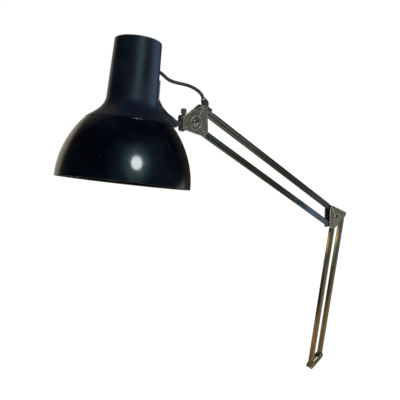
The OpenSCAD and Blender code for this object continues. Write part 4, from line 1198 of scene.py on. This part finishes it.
# Shows one shader to the camera and through glass, and the other to all else
def seenMix(tree, lit, seen, share=1.0):
    rays = addNode(tree, "LightPath", {}).outputs
    direct = calc("MAXIMUM", rays["Is Camera Ray"], rays["Is Transmission Ray"])
    return addNode(tree, "MixShader", {0: times(direct, share), 1: lit, 2: seen}).outputs[0]


floorLook = {
    "height": -0.32, "size": 60, "white": (0.82, 0.82, 0.82), "roughness": 0.9, "shadow": 0.12, "glow": 1.13,
}
deselectAll()
bpy.ops.mesh.primitive_plane_add(size=floorLook["size"], location=(0, 0, floorLook["height"]))
floor = nameIt("floor")
floor.visible_glossy = False
floorPaint, tree, matte = startMaterial("paleFloor")
fill(matte, {"Base Color": floorLook["white"], "Roughness": floorLook["roughness"]})
glow = addNode(tree, "Emission", {"Strength": floorLook["glow"]})
mixed = seenMix(tree, matte.outputs[0], glow.outputs[0], 1 - floorLook["shadow"])
fill(tree.nodes["Material Output"], {"Surface": mixed})
floor.data.materials.append(floorPaint)

# What the lamp sees round it: direction, how wide (cosine at the edge and at the middle), colour
roomLook = {
    "dim": (0.004, 0.005, 0.008),
    "below": (0.8, 0.8, 0.76),
    "horizon": (-0.16, -0.27),
    "paper": (1, 1, 1),
    "patches": [
        {"way": (-0.02, -0.74, 0.67), "edge": 0.88, "middle": 0.985, "colour": (0.3, 0.58, 0.8)},
        {"way": (-0.15, -0.84, 0.52), "edge": 0.965, "middle": 0.995, "colour": (0.36, 0.66, 0.7)},
        {"way": (-0.19, -0.92, 0.34), "edge": 0.965, "middle": 0.995, "colour": (0.28, 0.5, 0.5)},
        {"way": (0.5, 0.76, -0.4), "edge": 0.8, "middle": 0.92, "colour": (0.02, 0.018, 0.02)},
        {"way": (0.9, 0.42, -0.15), "edge": 0.85, "middle": 0.94, "colour": (0.05, 0.04, 0.032)},
        {"way": (0.1, 0.97, -0.12), "edge": 0.89, "middle": 0.96, "colour": (0.7, 0.62, 0.5)},
        {"way": (0.3, 0.8, 0.5), "edge": 0.86, "middle": 0.99, "colour": (0.14, 0.12, 0.09)},
    ],
}
world = bpy.data.worlds.new("studioRoom")
bpy.context.scene.world = world
world.use_nodes = True
tree = world.node_tree
tree.nodes.clear()
way = addNode(tree, "TexCoord", {}).outputs["Generated"]
low = span(splitSpots(way)[2], *roomLook["horizon"])
colour = blendColour(low, roomLook["dim"], roomLook["below"])
for patch in roomLook["patches"]:
    middle = Vector(patch["way"]).normalized()
    near = addNode(tree, "VectorMath", {0: way, 1: middle}, operation="DOT_PRODUCT")
    share = span(near.outputs["Value"], patch["edge"], patch["middle"])
    colour = blendColour(share, colour, patch["colour"])
room = addNode(tree, "Background", {"Color": colour})
paper = addNode(tree, "Background", {"Color": roomLook["paper"]})
addNode(tree, "OutputWorld", {0: seenMix(tree, room.outputs[0], paper.outputs[0])})

windowPlace = {"at": (-0.534, -1.125, 1.557), "to": (-0.506, -0.089, 0.619), "gloss": True}
softLight = {"colour": (1, 1, 1), "gloss": False}
studioLights = {
    # the window whose reflection shows on the dome
    "window": {**windowPlace, "size": 0.44, "power": 10.6, "colour": (0.93, 1.0, 0.98), "shape": "DISK",
               "miss": neck},
    # a blue sheen down the right side of the neck, and the window's faint one
    "neckSheen": {"at": (0.56, -0.34, 0.68), "to": (-0.4, 0.01, 0.76), "gloss": True,
                  "size": 0.9, "power": 3.1, "colour": (0.38, 0.62, 1.0), "only": neck},
    "neckWindow": {**windowPlace, "size": 0.36, "power": 0.6, "colour": (0.8, 0.92, 1.0), "only": neck},
    "softLeft": {"at": (-1.6, -1.5, 1.9), "to": (-0.3, 0, 0.5), "size": 1.6, "power": 34, **softLight},
    "softRight": {"at": (1.3, -1.7, 1.6), "to": (-0.1, 0, 0.4), "size": 1.6, "power": 26, **softLight},
    "softTop": {"at": (-0.2, 0.9, 2.4), "to": (-0.2, 0, 0.4), "size": 1.8, "power": 26, **softLight},
}
for name, look in studioLights.items():
    data = bpy.data.lights.new(name, "AREA")
    data.shape = look.get("shape", "SQUARE")
    data.size = look["size"]
    data.energy = look["power"]
    data.color = look["colour"]
    light = bpy.data.objects.new(name, data)
    light.location = look["at"]
    light.rotation_euler = (Vector(look["to"]) - Vector(look["at"])).to_track_quat("-Z", "Y").to_euler()
    light.visible_glossy = look["gloss"]
    light.visible_camera = False
    if "only" in look or "miss" in look:
        receivers = bpy.data.collections.new(name + "Receivers")
        receivers.objects.link(look.get("only", look.get("miss")))
        if "miss" in look:
            for entry in receivers.collection_objects:
                entry.light_linking.link_state = "EXCLUDE"
        light.light_linking.receiver_collection = receivers
    bpy.context.collection.objects.link(light)
bpy.context.scene.view_settings.view_transform = "Standard"
print("studio lit")


bpy.context.view_layer.update()
